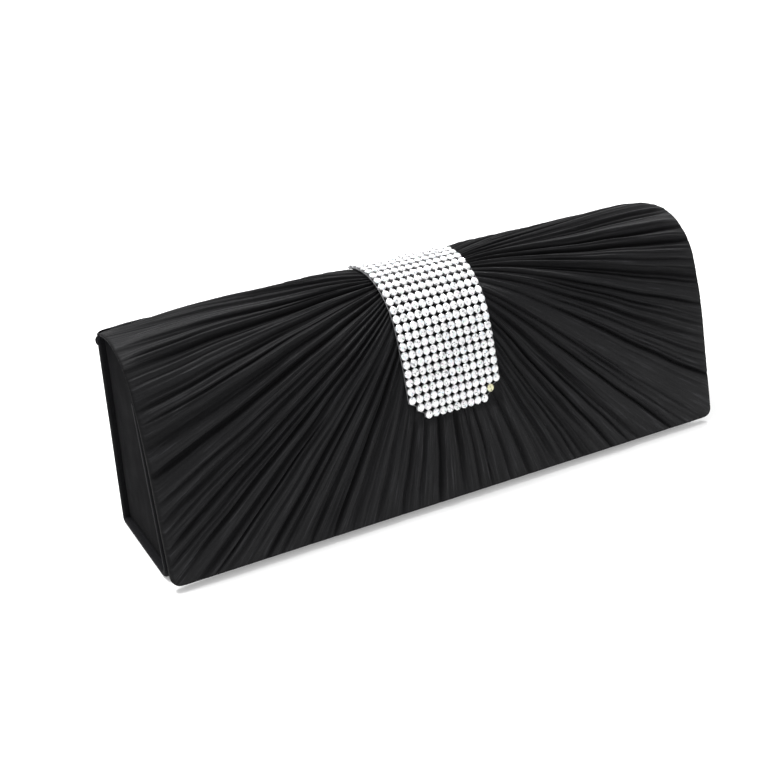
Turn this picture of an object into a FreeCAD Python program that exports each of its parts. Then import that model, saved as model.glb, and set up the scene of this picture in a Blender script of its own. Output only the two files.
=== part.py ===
import FreeCAD, Part
import math
import os
import Sketcher
from FreeCAD import Placement, Rotation, Vector

# Hard-case evening bag: a boarded case with recessed ends and a full-height padded flap that
# hinges along the top of the back wall.  Millimetres.  +X runs across the bag, the flap faces -Y,
# +Z is up, and the origin is the middle of the base's underside.

DIMENSIONS = {
    # across the bag
    "flap_width": 250,
    "case_width": 249,
    "end_recess": 2.5,
    # the case's section
    "case_depth": 51,
    "back_height": 80.5,
    "front_height": 68,
    "front_angle": 78.2,
    "back_corner": 1.5,
    "front_corner": 5,
    # thickness of each layer
    "satin": 0.5,
    "turn_in": 0.3,
    "lining": 0.4,
    "case_board": 2,
    "end_board": 1.5,
    "pleats": 0.8,
    "padding": 1,
    "flap_board": 1.4,
    # the flap's outer line, from its lower edge up and over to the hinge: runs that meet
    # tangentially, each turn in degrees
    "foot_forward": 33.2,
    "foot_height": 2.2,
    "flap_angle": 77,
    "flap_straight": 43,
    "front_radius": 178,
    "front_turn": 9,
    "crown_radius": 26.4,
    "crown_turn": 69.3,
    "top_radius": 41,
    "top_turn": 15.2,
    "rear_straight": 2.6,
    "foot_corner": 4,
    "rear_corner": 5,
    "rear_trim": 0.8,
    "end_clearance": 1.2,
    # the fabric hinge along the back wall's top
    "hinge_inset": 0.6,
    "hinge_height": 82,
    "hinge_radius": 0.9,
    # the rhinestone band: stones in straight columns and rows
    "stone_columns": 13,
    "stone_rows": 23,
    "column_pitch": 3.17,
    "row_pitch": 3.53,
    "first_row": 37.4,
    "band_start": 35.6,
    "band_width": 41.4,
    "band_rear_trim": 0.3,
    "band_corner": 7,
    "backing": 0.4,
    "cup_radius": 1.55,
    "cup_height": 0.9,
    "cup_floor": 0.2,
    "stone_radius": 1.32,
    "stone_table": 0.8,
    "stone_height": 1.3,
    # the magnetic snap
    "snap_level": 34,
    "snap_radius": 8.5,
    "snap_shell": 0.35,
    "socket_height": 2,
    "socket_hole": 4.2,
    "socket_plate": 0.3,
    "stud_radius": 2.6,
    "stud_length": 1.5,
    "stud_plate": 1.1,
    "washer_radius": 7,
    "washer": 0.4,
    "prong_offset": 4,
    "prong_width": 2,
    "prong_thickness": 0.4,
    "prong_play": 0.1,
    # the slip pocket on the back lining
    "pocket_width": 110,
    "pocket_bottom": 20,
    "pocket_top": 62,
    "pocket_sheet": 0.5,
    "pocket_gap": 0.8,
    "pocket_seam": 1.2,
    # the chain rings and the tabs that hold them
    "ring_place": 106,
    "ring_level": 68,
    "ring_wire": 0.9,
    "ring_bow": 5.9,
    "ring_leg": 3,
    "tab_width": 8,
    "tab_top": 78,
    "tab_thickness": 1.6,
    "tab_loop": 1.65,
    "tab_play": 0.06,
}

doc = FreeCAD.newDocument("evening_bag")
sheet = doc.addObject("Spreadsheet::Sheet", "Dims")
for row, (alias, number) in enumerate(DIMENSIONS.items(), start=1):
    sheet.set(f"A{row}", alias)
    sheet.set(f"B{row}", str(number))
    sheet.setAlias(f"B{row}", alias)
doc.recompute()

# Expressions that several sub-parts share
WALL = "(Dims.satin + Dims.case_board)"
WALL_LINED = "(Dims.satin + Dims.case_board + Dims.lining)"
BACK = "(Dims.case_depth / 2)"
FRONT_RUN = "(Dims.front_height / sin(Dims.front_angle))"
CORE = "(Dims.pleats + Dims.padding + Dims.flap_board)"
FLAP = "(Dims.pleats + Dims.padding + Dims.flap_board + Dims.lining)"
INSIDE_WIDTH = "(Dims.case_width - 2 * Dims.end_recess)"
END_STACK = "(Dims.satin + Dims.end_board + Dims.lining)"

pieces = []


def value(expression):
    """Return an expression's number, from the sheet's present values."""
    return float(sheet.evalExpression(expression))


def bind(thing, **expressions):
    """Tie properties of an object to expressions."""
    for name, expression in expressions.items():
        thing.setExpression(name, expression)


def place(thing, x="0", y="0", z="0", axis=Vector(1, 0, 0), angle="0"):
    """Tie an object's placement to expressions: a turn about one axis, then a shift."""
    thing.Placement = Placement(Vector(value(x), value(y), value(z)), Rotation(axis, value(angle)))
    thing.setExpression("Placement.Base.x", x)
    thing.setExpression("Placement.Base.y", y)
    thing.setExpression("Placement.Base.z", z)
    thing.setExpression("Placement.Rotation.Angle", angle)


def keep(thing, label):
    """Name a finished sub-part, which is then written to its own file."""
    thing.Label = label
    pieces.append(thing)
    return thing


def origin_plane(body, role):
    return [part for part in body.Origin.OriginFeatures if part.Role == role][0]


def new_sketch(body, role):
    sketch = body.newObject("Sketcher::SketchObject", "Sketch")
    sketch.AttachmentSupport = (origin_plane(body, role), [""])
    sketch.MapMode = "FlatFace"
    return sketch


def constrain(sketch, expression, *definition):
    """Add one dimension to a sketch and tie it to an expression."""
    number = value(expression)
    if definition[0] == "Angle":
        number = math.radians(number)
    index = sketch.addConstraint(Sketcher.Constraint(*definition, number))
    name = f"size{index}"
    sketch.renameConstraint(index, name)
    sketch.setExpression(f"Constraints.{name}", expression)


def pin(sketch, line, end, x, y):
    """Fix one end of a line at a point given by two expressions."""
    for kind, expression, axis in (("DistanceX", x, -2), ("DistanceY", y, -1)):
        if expression == "0":
            sketch.addConstraint(Sketcher.Constraint("PointOnObject", line, end, axis))
        else:
            constrain(sketch, expression, kind, line, end)


def add_polygon(sketch, points):
    """Draw a closed outline whose corners are pairs of expressions."""
    corners = [Vector(value(x), value(y), 0) for x, y in points]
    first = sketch.GeometryCount
    count = len(points)
    for index in range(count):
        sketch.addGeometry(Part.LineSegment(corners[index], corners[(index + 1) % count]), False)
    for index in range(count):
        following = first + (index + 1) % count
        sketch.addConstraint(Sketcher.Constraint("Coincident", first + index, 2, following, 1))
    for index, (x, y) in enumerate(points):
        pin(sketch, first + index, 1, x, y)


def pad(body, sketch, length):
    feature = body.newObject("PartDesign::Pad", "Pad")
    feature.Profile = sketch
    feature.SideType = "Symmetric"
    feature.Length = value(length)
    bind(feature, Length=length)
    doc.recompute()
    return feature


def prism(name, points, length):
    """Make a body: an outline in the YZ plane, drawn out evenly to both sides of the middle."""
    body = doc.addObject("PartDesign::Body", name)
    sketch = new_sketch(body, "YZ_Plane")
    add_polygon(sketch, points)
    pad(body, sketch, length)
    return body


def round_edges(body, wanted, radius):
    """Fillet the edges of a body's tip that a test picks out."""
    tip = body.Tip
    names = [f"Edge{n}" for n, edge in enumerate(tip.Shape.Edges, start=1) if wanted(edge)]
    fillet = body.newObject("PartDesign::Fillet", "Fillet")
    fillet.Base = (tip, names)
    fillet.Radius = value(radius)
    bind(fillet, Radius=radius)
    doc.recompute()


def revolve(name, points):
    """Make a body: an outline of (radius, height) corners turned about +Z."""
    body = doc.addObject("PartDesign::Body", name)
    sketch = new_sketch(body, "XZ_Plane")
    add_polygon(sketch, points)
    turned = body.newObject("PartDesign::Revolution", "Revolution")
    turned.Profile = sketch
    turned.ReferenceAxis = (sketch, ["V_Axis"])
    turned.Angle = 360
    doc.recompute()
    return body


def box(name, length, width, height, x="0", y="0", z="0", **turn):
    block = doc.addObject("Part::Box", name)
    bind(block, Length=length, Width=width, Height=height)
    place(block, x, y, z, **turn)
    doc.recompute()
    return block


def join(name, *things):
    union = doc.addObject("Part::MultiFuse", name)
    union.Shapes = list(things)
    doc.recompute()
    return union


def cut(name, base, tool):
    result = doc.addObject("Part::Cut", name)
    result.Base = base
    result.Tool = tool
    doc.recompute()
    return result


# ---- the flap's curved layers ----------------------------------------------------------------


def flap_start(depth, trim):
    """Return where a line at some depth below the flap's outer line starts, above the foot."""
    y = f"-Dims.foot_forward + ({trim}) * cos(Dims.flap_angle) + ({depth}) * sin(Dims.flap_angle)"
    z = f"Dims.foot_height + ({trim}) * sin(Dims.flap_angle) - ({depth}) * cos(Dims.flap_angle)"
    return y, z


def add_flap_line(sketch, depth, foot_trim, rear_trim):
    """Draw the line that runs at one depth from the flap's foot to the hinge."""
    y, z = flap_start(depth, foot_trim)
    point = Vector(value(y), value(z), 0)
    heading = math.radians(value("Dims.flap_angle"))
    first = sketch.GeometryCount
    straight = f"Dims.flap_straight - ({foot_trim})"
    rear = f"Dims.rear_straight - ({rear_trim})"
    bends = [
        (f"Dims.front_radius - ({depth})", "Dims.front_turn"),
        (f"Dims.crown_radius - ({depth})", "Dims.crown_turn"),
        (f"Dims.top_radius - ({depth})", "Dims.top_turn"),
    ]
    along = Vector(math.cos(heading), math.sin(heading), 0)
    end = point + along * value(straight)
    sketch.addGeometry(Part.LineSegment(point, end), False)
    for radius, turn in bends:
        size = value(radius)
        centre = end + Vector(math.sin(heading), -math.cos(heading), 0) * size
        heading_after = heading - math.radians(value(turn))
        circle = Part.Circle(centre, Vector(0, 0, 1), size)
        quarter = math.pi / 2
        arc = Part.ArcOfCircle(circle, heading_after + quarter, heading + quarter)
        sketch.addGeometry(arc, False)
        heading = heading_after
        end = arc.StartPoint
    along = Vector(math.cos(heading), math.sin(heading), 0)
    sketch.addGeometry(Part.LineSegment(end, end + along * value(rear)), False)
    pin(sketch, first, 1, y, z)
    constrain(sketch, "Dims.flap_angle", "Angle", first)
    constrain(sketch, straight, "Distance", first)
    sketch.addConstraint(Sketcher.Constraint("Tangent", first, 2, first + 1, 2))
    sketch.addConstraint(Sketcher.Constraint("Tangent", first + 1, 1, first + 2, 2))
    sketch.addConstraint(Sketcher.Constraint("Tangent", first + 2, 1, first + 3, 2))
    sketch.addConstraint(Sketcher.Constraint("Tangent", first + 3, 1, first + 4, 1))
    for index, (radius, turn) in enumerate(bends, start=first + 1):
        constrain(sketch, radius, "Radius", index)
        constrain(sketch, turn, "Angle", index)
    constrain(sketch, rear, "Distance", first + 4)
    return first


def flap_layer(name, top, bottom, foot_trim, rear_trim, width, corner=None, rear_corner=None):
    """Make a body between two depths of the flap, of some width."""
    body = doc.addObject("PartDesign::Body", name)
    sketch = new_sketch(body, "YZ_Plane")
    outer = add_flap_line(sketch, top, foot_trim, rear_trim)
    inner = add_flap_line(sketch, bottom, foot_trim, rear_trim)
    for end, outer_line, inner_line in ((1, outer, inner), (2, outer + 4, inner + 4)):
        ends = [sketch.getPoint(line, end) for line in (outer_line, inner_line)]
        closing = sketch.addGeometry(Part.LineSegment(*ends), False)
        sketch.addConstraint(Sketcher.Constraint("Coincident", closing, 1, outer_line, end))
        sketch.addConstraint(Sketcher.Constraint("Coincident", closing, 2, inner_line, end))
    pad(body, sketch, width)
    half = value(width) / 2
    low = value(flap_start(top, foot_trim)[1]) + value(bottom)
    thickness = value(bottom) - value(top)

    def at_corner(edge):
        short = abs(edge.Length - thickness) < 0.01
        return short and abs(abs(edge.CenterOfMass.x) - half) < 0.01

    def at_foot(edge):
        return at_corner(edge) and edge.CenterOfMass.z < low

    def at_rear(edge):
        return at_corner(edge) and edge.CenterOfMass.y > 0

    if corner:
        round_edges(body, at_foot, corner)
    if rear_corner:
        round_edges(body, at_rear, rear_corner)
    return body


def flap_point(distance):
    """Return the point and heading of the flap's outer line at a distance from its foot."""
    heading = math.radians(value("Dims.flap_angle"))
    point = Vector(0, -value("Dims.foot_forward"), value("Dims.foot_height"))
    left = distance
    runs = [(value("Dims.flap_straight"), 0)]
    for part in ("front", "crown", "top"):
        radius = value(f"Dims.{part}_radius")
        runs.append((radius * math.radians(value(f"Dims.{part}_turn")), 1 / radius))
    runs.append((value("Dims.rear_straight"), 0))
    for length, curvature in runs:
        step = min(left, length)
        turn = step * curvature
        chord = 2 * math.sin(turn / 2) / curvature if curvature else step
        middle = heading - turn / 2
        point = point + Vector(0, math.cos(middle), math.sin(middle)) * chord
        heading -= turn
        left -= step
    return point, heading


# ---- the case: three boards, the satin that wraps them and the lining -------------------------

FRONT_FOOT_Y = "(-Dims.case_depth / 2)"


def front_point(along, depth):
    """Return (y, z) at a distance up the front wall and a depth in from its outer face."""
    y = f"{FRONT_FOOT_Y} + ({along}) * cos(Dims.front_angle) + ({depth}) * sin(Dims.front_angle)"
    z = f"({along}) * sin(Dims.front_angle) - ({depth}) * cos(Dims.front_angle)"
    return y, z


def inner_foot(depth):
    """Return (y, z) of the inner corner of base and front wall, one depth in from both."""
    return f"{FRONT_FOOT_Y} + {depth} / tan(Dims.front_angle / 2)", depth


def case_outline(outer, inner, back_top, front_along):
    """Return the corners of a U-shaped layer of the case, between two depths."""
    front_top = front_point(front_along, outer)
    front_top_inner = front_point(front_along, inner)
    outer_foot = (FRONT_FOOT_Y, "0") if outer == "0" else inner_foot(outer)
    return [
        (f"{BACK} - {outer}", back_top),
        (f"{BACK} - {outer}", outer),
        outer_foot,
        front_top,
        front_top_inner,
        inner_foot(inner),
        (f"{BACK} - {inner}", inner),
        (f"{BACK} - {inner}", back_top),
    ]


def along_x(edge):
    return abs(edge.tangentAt(edge.FirstParameter).x) > 0.999


def near(edge, y, z):
    middle = edge.CenterOfMass
    return math.hypot(middle.y - y, middle.z - z) < 0.01


blank = prism("case_blank", case_outline("0", WALL, "Dims.back_height", FRONT_RUN), "Dims.case_width")
half_depth = value(BACK)
round_edges(blank, lambda edge: along_x(edge) and near(edge, half_depth, 0), "Dims.back_corner")
round_edges(blank, lambda edge: along_x(edge) and near(edge, -half_depth, 0), "Dims.front_corner")

BOARD_WIDTH = "Dims.case_width - 2 * Dims.satin"
HALF_BOARD = "-Dims.case_width / 2 + Dims.satin"

back_board = box(
    "back_board", BOARD_WIDTH, "Dims.case_board", f"Dims.back_height - Dims.satin - {WALL}",
    x=HALF_BOARD, y=f"{BACK} - {WALL}", z=WALL,
)
keep(back_board, "back_board")

base_board = box(
    "base_board", BOARD_WIDTH, "Dims.case_depth - Dims.front_corner - 2 * Dims.satin",
    "Dims.case_board", x=HALF_BOARD, y=f"{FRONT_FOOT_Y} + Dims.front_corner + Dims.satin",
    z="Dims.satin",
)
keep(base_board, "base_board")

board_foot_y, board_foot_z = front_point("Dims.front_corner", WALL)
front_blank = box(
    "front_blank", BOARD_WIDTH, f"{FRONT_RUN} - Dims.front_corner - Dims.satin", "Dims.case_board",
    x=HALF_BOARD, y=board_foot_y, z=board_foot_z, angle="Dims.front_angle",
)

# The snap sits on the front wall's face: its own +Z is the wall's outward normal.
SNAP_ALONG = "(Dims.snap_level / sin(Dims.front_angle))"
snap_y, snap_z = front_point(SNAP_ALONG, "0")
SNAP_ANGLE = "Dims.front_angle"


def on_front(thing):
    place(thing, y=snap_y, z=snap_z, angle=SNAP_ANGLE)
    doc.recompute()
    return thing


def prong_pair(name, depth, start, play="0"):
    """Make a pair of flat prongs, or their slots, that run from start down to a depth."""
    pair = []
    for side in (-1, 1):
        pair.append(
            box(
                f"{name}_{'left' if side < 0 else 'right'}",
                f"Dims.prong_width + 2 * {play}",
                f"Dims.prong_thickness + 2 * {play}",
                f"({depth}) + ({start})",
                x=f"-Dims.prong_width / 2 - {play}",
                y=f"{side} * Dims.prong_offset - Dims.prong_thickness / 2 - {play}",
                z=f"-({depth})",
            )
        )
    return pair


def disc(name, radius, height, z="0"):
    puck = doc.addObject("Part::Cylinder", name)
    bind(puck, Radius=radius, Height=height)
    place(puck, z=z)
    doc.recompute()
    return puck


RECESS_RADIUS = "Dims.washer_radius + Dims.prong_play"
slots = prong_pair("front_slot", f"{WALL} + 1", "1", "Dims.prong_play")
recess = disc("front_recess", RECESS_RADIUS, "Dims.washer + 1", z=f"-{WALL} - 1")
front_cuts = on_front(join("front_cuts", recess, *slots))
keep(cut("front_board", front_blank, front_cuts), "front_board")

# The satin wraps the boards, and at both ends it turns in as far as the recessed end panels.
WALL_TURNED = "(Dims.satin + Dims.case_board + Dims.turn_in)"
turn_outline = case_outline(WALL, WALL_TURNED, "Dims.back_height", FRONT_RUN)
turn_strip = prism("turn_strip", turn_outline, "Dims.case_width")
middle = box(
    "between_ends", INSIDE_WIDTH, "2 * Dims.case_depth", "2 * Dims.back_height",
    x=f"-{INSIDE_WIDTH} / 2", y="-Dims.case_depth", z="-Dims.case_depth",
)
wrap = join("case_wrap", blank, cut("turn_in", turn_strip, middle))
cover_tools = join("cover_tools", back_board, base_board, front_blank, front_cuts)
keep(cut("case_cover", wrap, cover_tools), "case_cover")

LINING_WIDTH = f"{INSIDE_WIDTH} - 2 * {END_STACK}"
lining_outline = case_outline(
    WALL, WALL_LINED, "Dims.back_height - Dims.satin", f"({FRONT_RUN} - Dims.satin)"
)
keep(prism("case_lining", lining_outline, LINING_WIDTH), "case_lining")

# The ends stand in from the walls' edges, and their tops follow the closed flap's inside.
ABOVE = "Dims.back_height + 15"
front_top = front_point(FRONT_RUN, WALL)
end_outline = [
    (f"{BACK} - {WALL}", WALL),
    inner_foot(WALL),
    front_top,
    (front_top[0], ABOVE),
    (f"{BACK} - {WALL}", ABOVE),
]
end_blank = prism("end_blank", end_outline, INSIDE_WIDTH)
under_flap = f"{FLAP} + Dims.end_clearance"
flap_zone = flap_layer("flap_zone", "-20", under_flap, "0", "-6", "Dims.flap_width")
end_form = cut("end_form", end_blank, flap_zone)

END_LAYERS = [
    ("cover", "0", "Dims.satin"),
    ("board", "Dims.satin", "Dims.end_board"),
    ("lining", "(Dims.satin + Dims.end_board)", "Dims.lining"),
]
for side, hand in ((-1, "left"), (1, "right")):
    for layer, depth, thickness in END_LAYERS:
        label = f"{hand}_end_{layer}"
        edge = f"{INSIDE_WIDTH} / 2 - {depth}"
        start = f"-({edge})" if side < 0 else f"{edge} - {thickness}"
        slab = box(
            f"{label}_slab", thickness, "2 * Dims.case_depth", "2 * Dims.back_height",
            x=start, y="-Dims.case_depth",
        )
        end_layer = doc.addObject("Part::Common", label)
        end_layer.Base = end_form
        end_layer.Tool = slab
        doc.recompute()
        keep(end_layer, label)

# The slip pocket is sewn to the back lining along its two sides and its bottom.
POCKET_DEPTH = "(Dims.pocket_sheet + Dims.pocket_gap)"
LINING_FACE = f"{BACK} - {WALL_LINED}"
pocket_blank = box(
    "pocket_blank", "Dims.pocket_width", POCKET_DEPTH, "Dims.pocket_top - Dims.pocket_bottom",
    x="-Dims.pocket_width / 2", y=f"{LINING_FACE} - {POCKET_DEPTH}", z="Dims.pocket_bottom",
)
pocket_space = box(
    "pocket_space", "Dims.pocket_width - 2 * Dims.pocket_seam", "Dims.pocket_gap + 1",
    "Dims.pocket_top - Dims.pocket_bottom",
    x="-Dims.pocket_width / 2 + Dims.pocket_seam", y=f"{LINING_FACE} - Dims.pocket_gap",
    z="Dims.pocket_bottom + Dims.pocket_seam",
)
keep(cut("slip_pocket", pocket_blank, pocket_space), "slip_pocket")


# ---- the fabric hinge ---------------------------------------------------------------------------


def rod(name, radius, length, x="0", y="0", z="0"):
    """Make a cylinder that runs along +X from a point."""
    bar = doc.addObject("Part::Cylinder", name)
    bind(bar, Radius=radius, Height=length)
    place(bar, x, y, z, axis=Vector(0, 1, 0), angle="90")
    doc.recompute()
    return bar


HINGE_Y = f"{BACK} - Dims.hinge_inset"
hinge_roll = rod(
    "hinge_roll", "Dims.hinge_radius", BOARD_WIDTH, HALF_BOARD, HINGE_Y, "Dims.hinge_height"
)
hinge_web = box(
    "hinge_web", BOARD_WIDTH, "2 * Dims.hinge_radius - Dims.satin",
    "Dims.hinge_height - Dims.back_height",
    x=HALF_BOARD, y=f"{HINGE_Y} - Dims.hinge_radius + Dims.satin / 2", z="Dims.back_height",
)
keep(join("hinge_strip", hinge_web, hinge_roll), "hinge_strip")

# ---- the flap -------------------------------------------------------------------------------------

CORE_WIDTH = "Dims.flap_width - 2 * Dims.pleats"
INNER_CORNER = "Dims.foot_corner - Dims.pleats"
INNER_REAR_CORNER = "Dims.rear_corner - Dims.pleats"
PADDING_BOTTOM = "(Dims.pleats + Dims.padding)"

flap_blank = flap_layer(
    "flap_blank", "0", CORE, "0", "0", "Dims.flap_width", "Dims.foot_corner", "Dims.rear_corner"
)
padding = flap_layer(
    "flap_padding", "Dims.pleats", PADDING_BOTTOM, "Dims.pleats", "Dims.rear_trim", CORE_WIDTH,
    INNER_CORNER, INNER_REAR_CORNER,
)
keep(padding, "flap_padding")
flap_board_blank = flap_layer(
    "flap_board_blank", PADDING_BOTTOM, CORE, "Dims.pleats", "Dims.rear_trim", CORE_WIDTH,
    INNER_CORNER, INNER_REAR_CORNER,
)
flap_core = join("flap_core", padding, flap_board_blank)
keep(cut("flap_cover", flap_blank, flap_core), "flap_cover")
lining_blank = flap_layer(
    "flap_lining_blank", CORE, FLAP, "2 * Dims.pleats", "Dims.rear_trim",
    "Dims.flap_width - 4 * Dims.pleats", INNER_CORNER, INNER_REAR_CORNER,
)

# The snap's half on the flap stands where the socket's axis meets the flap's lining.
FLAP_FOOT_Y, FLAP_FOOT_Z = flap_start(FLAP, "0")
STUD_ALONG = (
    f"((({snap_y}) - ({FLAP_FOOT_Y})) * cos(Dims.front_angle)"
    f" + (({snap_z}) - ({FLAP_FOOT_Z})) * sin(Dims.front_angle))"
    " / cos(Dims.front_angle - Dims.flap_angle)"
)
stud_y, stud_z = flap_start(FLAP, STUD_ALONG)


def on_flap(thing):
    place(thing, y=stud_y, z=stud_z, angle="Dims.flap_angle")
    doc.recompute()
    return thing


PRONG_REACH = "(Dims.lining + Dims.flap_board)"
stud_slots = prong_pair("stud_slot", "0.5", PRONG_REACH, "Dims.prong_play")
stud_recess = disc("stud_recess", RECESS_RADIUS, "Dims.washer", z=f"{PRONG_REACH} - Dims.washer")
stud_cuts = on_flap(join("stud_cuts", stud_recess, *stud_slots))
keep(cut("flap_board", flap_board_blank, stud_cuts), "flap_board")
keep(cut("flap_lining", lining_blank, stud_cuts), "flap_lining")

# ---- the magnetic snap ------------------------------------------------------------------------------

CAP_INNER = "Dims.snap_radius - Dims.snap_shell"
HOLE_OUTER = "Dims.socket_hole + Dims.snap_shell"
CAP_CEILING = "Dims.socket_height - Dims.snap_shell"
socket_outline = [
    ("Dims.socket_hole", "Dims.socket_plate"),
    (HOLE_OUTER, "Dims.socket_plate"),
    (HOLE_OUTER, CAP_CEILING),
    (CAP_INNER, CAP_CEILING),
    (CAP_INNER, "0"),
    ("Dims.snap_radius", "0"),
    ("Dims.snap_radius", "Dims.socket_height"),
    ("Dims.socket_hole", "Dims.socket_height"),
]
keep(on_front(revolve("snap_socket", socket_outline)), "snap_socket")
magnet_outline = [
    (HOLE_OUTER, "Dims.socket_plate"),
    (CAP_INNER, "Dims.socket_plate"),
    (CAP_INNER, CAP_CEILING),
    (HOLE_OUTER, CAP_CEILING),
]
keep(on_front(revolve("snap_magnet", magnet_outline)), "snap_magnet")
plate_parts = [disc("socket_plate_disc", CAP_INNER, "Dims.socket_plate")]
plate_parts += prong_pair("socket_prong", WALL, "Dims.socket_plate")
keep(on_front(join("snap_socket_plate", *plate_parts)), "snap_socket_plate")


def washer(label, low, on_place):
    """Make a back washer with two slots for the prongs."""
    blank_washer = disc(f"{label}_blank", "Dims.washer_radius", "Dims.washer", z=low)
    slot_pair = prong_pair(f"{label}_slot", "10", "10")
    finished = cut(label, blank_washer, join(f"{label}_slots", *slot_pair))
    keep(on_place(finished), label)


washer("snap_socket_washer", f"-{WALL}", on_front)
washer("snap_stud_washer", f"{PRONG_REACH} - Dims.washer", on_flap)

stud_parts = [
    disc("stud_disc", "Dims.snap_radius", "Dims.stud_plate", z="-Dims.stud_plate"),
    disc("stud_post", "Dims.stud_radius", "Dims.stud_length", z="-Dims.stud_plate - Dims.stud_length"),
]
stud_parts += prong_pair("stud_prong", "0.1", PRONG_REACH)
keep(on_flap(join("snap_stud", *stud_parts)), "snap_stud")

# ---- the rhinestone band ----------------------------------------------------------------------------

backing = flap_layer(
    "band_backing", "-Dims.backing", "0", "Dims.band_start", "Dims.band_rear_trim",
    "Dims.band_width", "Dims.band_corner",
)
keep(backing, "band_backing")

cup_outline = [
    ("0", "0"),
    ("Dims.cup_radius", "0"),
    ("Dims.cup_radius", "Dims.cup_height"),
    ("Dims.stone_radius", "Dims.cup_height"),
    ("Dims.stone_radius", "Dims.cup_floor"),
    ("0", "Dims.cup_floor"),
]
stone_outline = [
    ("0", "Dims.cup_floor"),
    ("Dims.stone_radius", "Dims.cup_floor"),
    ("Dims.stone_radius", "Dims.cup_height"),
    ("Dims.stone_table", "Dims.stone_height"),
    ("0", "Dims.stone_height"),
]


def stone_places():
    """Yield where each stone sits: the two lowest rows are narrower, so the corners are clipped."""
    columns = int(value("Dims.stone_columns"))
    for line in range(int(value("Dims.stone_rows"))):
        distance = value("Dims.first_row") + line * value("Dims.row_pitch")
        point, heading = flap_point(distance)
        outward = Vector(0, -math.sin(heading), math.cos(heading))
        seat = point + outward * value("Dims.backing")
        clipped = max(0, 2 - line)
        for column in range(clipped, columns - clipped):
            seat.x = (column - (columns - 1) / 2) * value("Dims.column_pitch")
            yield Placement(Vector(seat), Rotation(Vector(1, 0, 0), math.degrees(heading)))


def scatter(label, single):
    """Gather a copy of one small body at every stone's place."""
    group = doc.addObject("Part::Feature", label)
    copies = []
    for spot in stone_places():
        copy = single.Shape.copy()
        copy.Placement = spot
        copies.append(copy)
    group.Shape = Part.makeCompound(copies)
    keep(group, label)


scatter("stone_cups", revolve("single_cup", cup_outline))
scatter("crystals", revolve("single_stone", stone_outline))

# ---- the chain rings and their tabs -------------------------------------------------------------------

RING_Y = f"{LINING_FACE} - Dims.tab_loop"
for side, hand in ((-1, "left"), (1, "right")):
    ring_x = f"{side} * Dims.ring_place"
    loop = rod(
        f"{hand}_tab_loop", "Dims.tab_loop", "Dims.tab_width",
        f"{ring_x} - Dims.tab_width / 2", RING_Y, "Dims.ring_level",
    )
    strap = box(
        f"{hand}_tab_strap", "Dims.tab_width", "Dims.tab_thickness",
        "Dims.tab_top - Dims.ring_level",
        x=f"{ring_x} - Dims.tab_width / 2", y=f"{LINING_FACE} - Dims.tab_thickness",
        z="Dims.ring_level",
    )
    hole = rod(
        f"{hand}_tab_hole", "Dims.ring_wire + Dims.tab_play", "Dims.tab_width + 2",
        f"{ring_x} - Dims.tab_width / 2 - 1", RING_Y, "Dims.ring_level",
    )
    tab = cut(f"{hand}_ring_tab", join(f"{hand}_tab_blank", loop, strap), hole)
    keep(tab, f"{hand}_ring_tab")

    bow = doc.addObject("Part::Torus", f"{hand}_ring_bow")
    bind(bow, Radius1="Dims.ring_bow", Radius2="Dims.ring_wire")
    bow.Angle3 = 180
    place(bow, z="-Dims.ring_leg", angle="-90")
    bar = rod(f"{hand}_ring_bar", "Dims.ring_wire", "2 * Dims.ring_bow", x="-Dims.ring_bow")
    ring_parts = [bow, bar]
    for end in (-1, 1):
        tag = "a" if end < 0 else "b"
        leg = disc(f"{hand}_ring_leg_{tag}", "Dims.ring_wire", "Dims.ring_leg")
        place(leg, x=f"{end} * Dims.ring_bow", z="-Dims.ring_leg")
        knuckle = doc.addObject("Part::Sphere", f"{hand}_ring_knuckle_{tag}")
        bind(knuckle, Radius="Dims.ring_wire")
        place(knuckle, x=f"{end} * Dims.ring_bow")
        ring_parts += [leg, knuckle]
    doc.recompute()
    ring = join(f"{hand}_strap_ring", *ring_parts)
    place(ring, ring_x, RING_Y, "Dims.ring_level")
    doc.recompute()
    keep(ring, f"{hand}_strap_ring")

# ---- checks, then one file for each sub-part -------------------------------------------------------------

doc.recompute()
for thing in doc.Objects:
    if "Invalid" in thing.State or "Error" in thing.State:
        raise RuntimeError(f"{thing.Label} failed: {thing.State}")
for piece in pieces:
    if piece.Shape.isNull() or not piece.Shape.isValid() or piece.Shape.Volume <= 0:
        raise RuntimeError(f"{piece.Label} has no valid solid")

os.makedirs("parts", exist_ok=True)
for piece in pieces:
    piece.Shape.exportStep(f"parts/{piece.Label}.step")
print(f"{len(pieces)} sub-parts written")
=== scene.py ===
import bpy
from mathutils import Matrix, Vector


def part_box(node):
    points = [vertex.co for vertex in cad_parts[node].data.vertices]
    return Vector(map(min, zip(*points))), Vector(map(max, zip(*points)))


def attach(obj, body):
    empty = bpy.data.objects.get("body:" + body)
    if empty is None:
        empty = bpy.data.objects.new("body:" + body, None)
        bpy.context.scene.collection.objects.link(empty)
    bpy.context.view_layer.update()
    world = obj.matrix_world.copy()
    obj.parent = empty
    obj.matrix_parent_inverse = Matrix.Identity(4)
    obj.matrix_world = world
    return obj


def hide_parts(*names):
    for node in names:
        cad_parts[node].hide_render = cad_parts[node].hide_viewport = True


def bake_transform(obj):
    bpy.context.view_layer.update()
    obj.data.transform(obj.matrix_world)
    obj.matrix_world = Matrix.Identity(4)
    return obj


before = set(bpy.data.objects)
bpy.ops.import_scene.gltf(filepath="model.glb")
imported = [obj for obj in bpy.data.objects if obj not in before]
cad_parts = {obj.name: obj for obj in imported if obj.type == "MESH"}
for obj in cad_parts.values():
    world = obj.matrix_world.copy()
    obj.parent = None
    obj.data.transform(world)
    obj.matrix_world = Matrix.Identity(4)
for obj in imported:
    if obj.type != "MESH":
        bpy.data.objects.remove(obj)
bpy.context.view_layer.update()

import math

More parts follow.
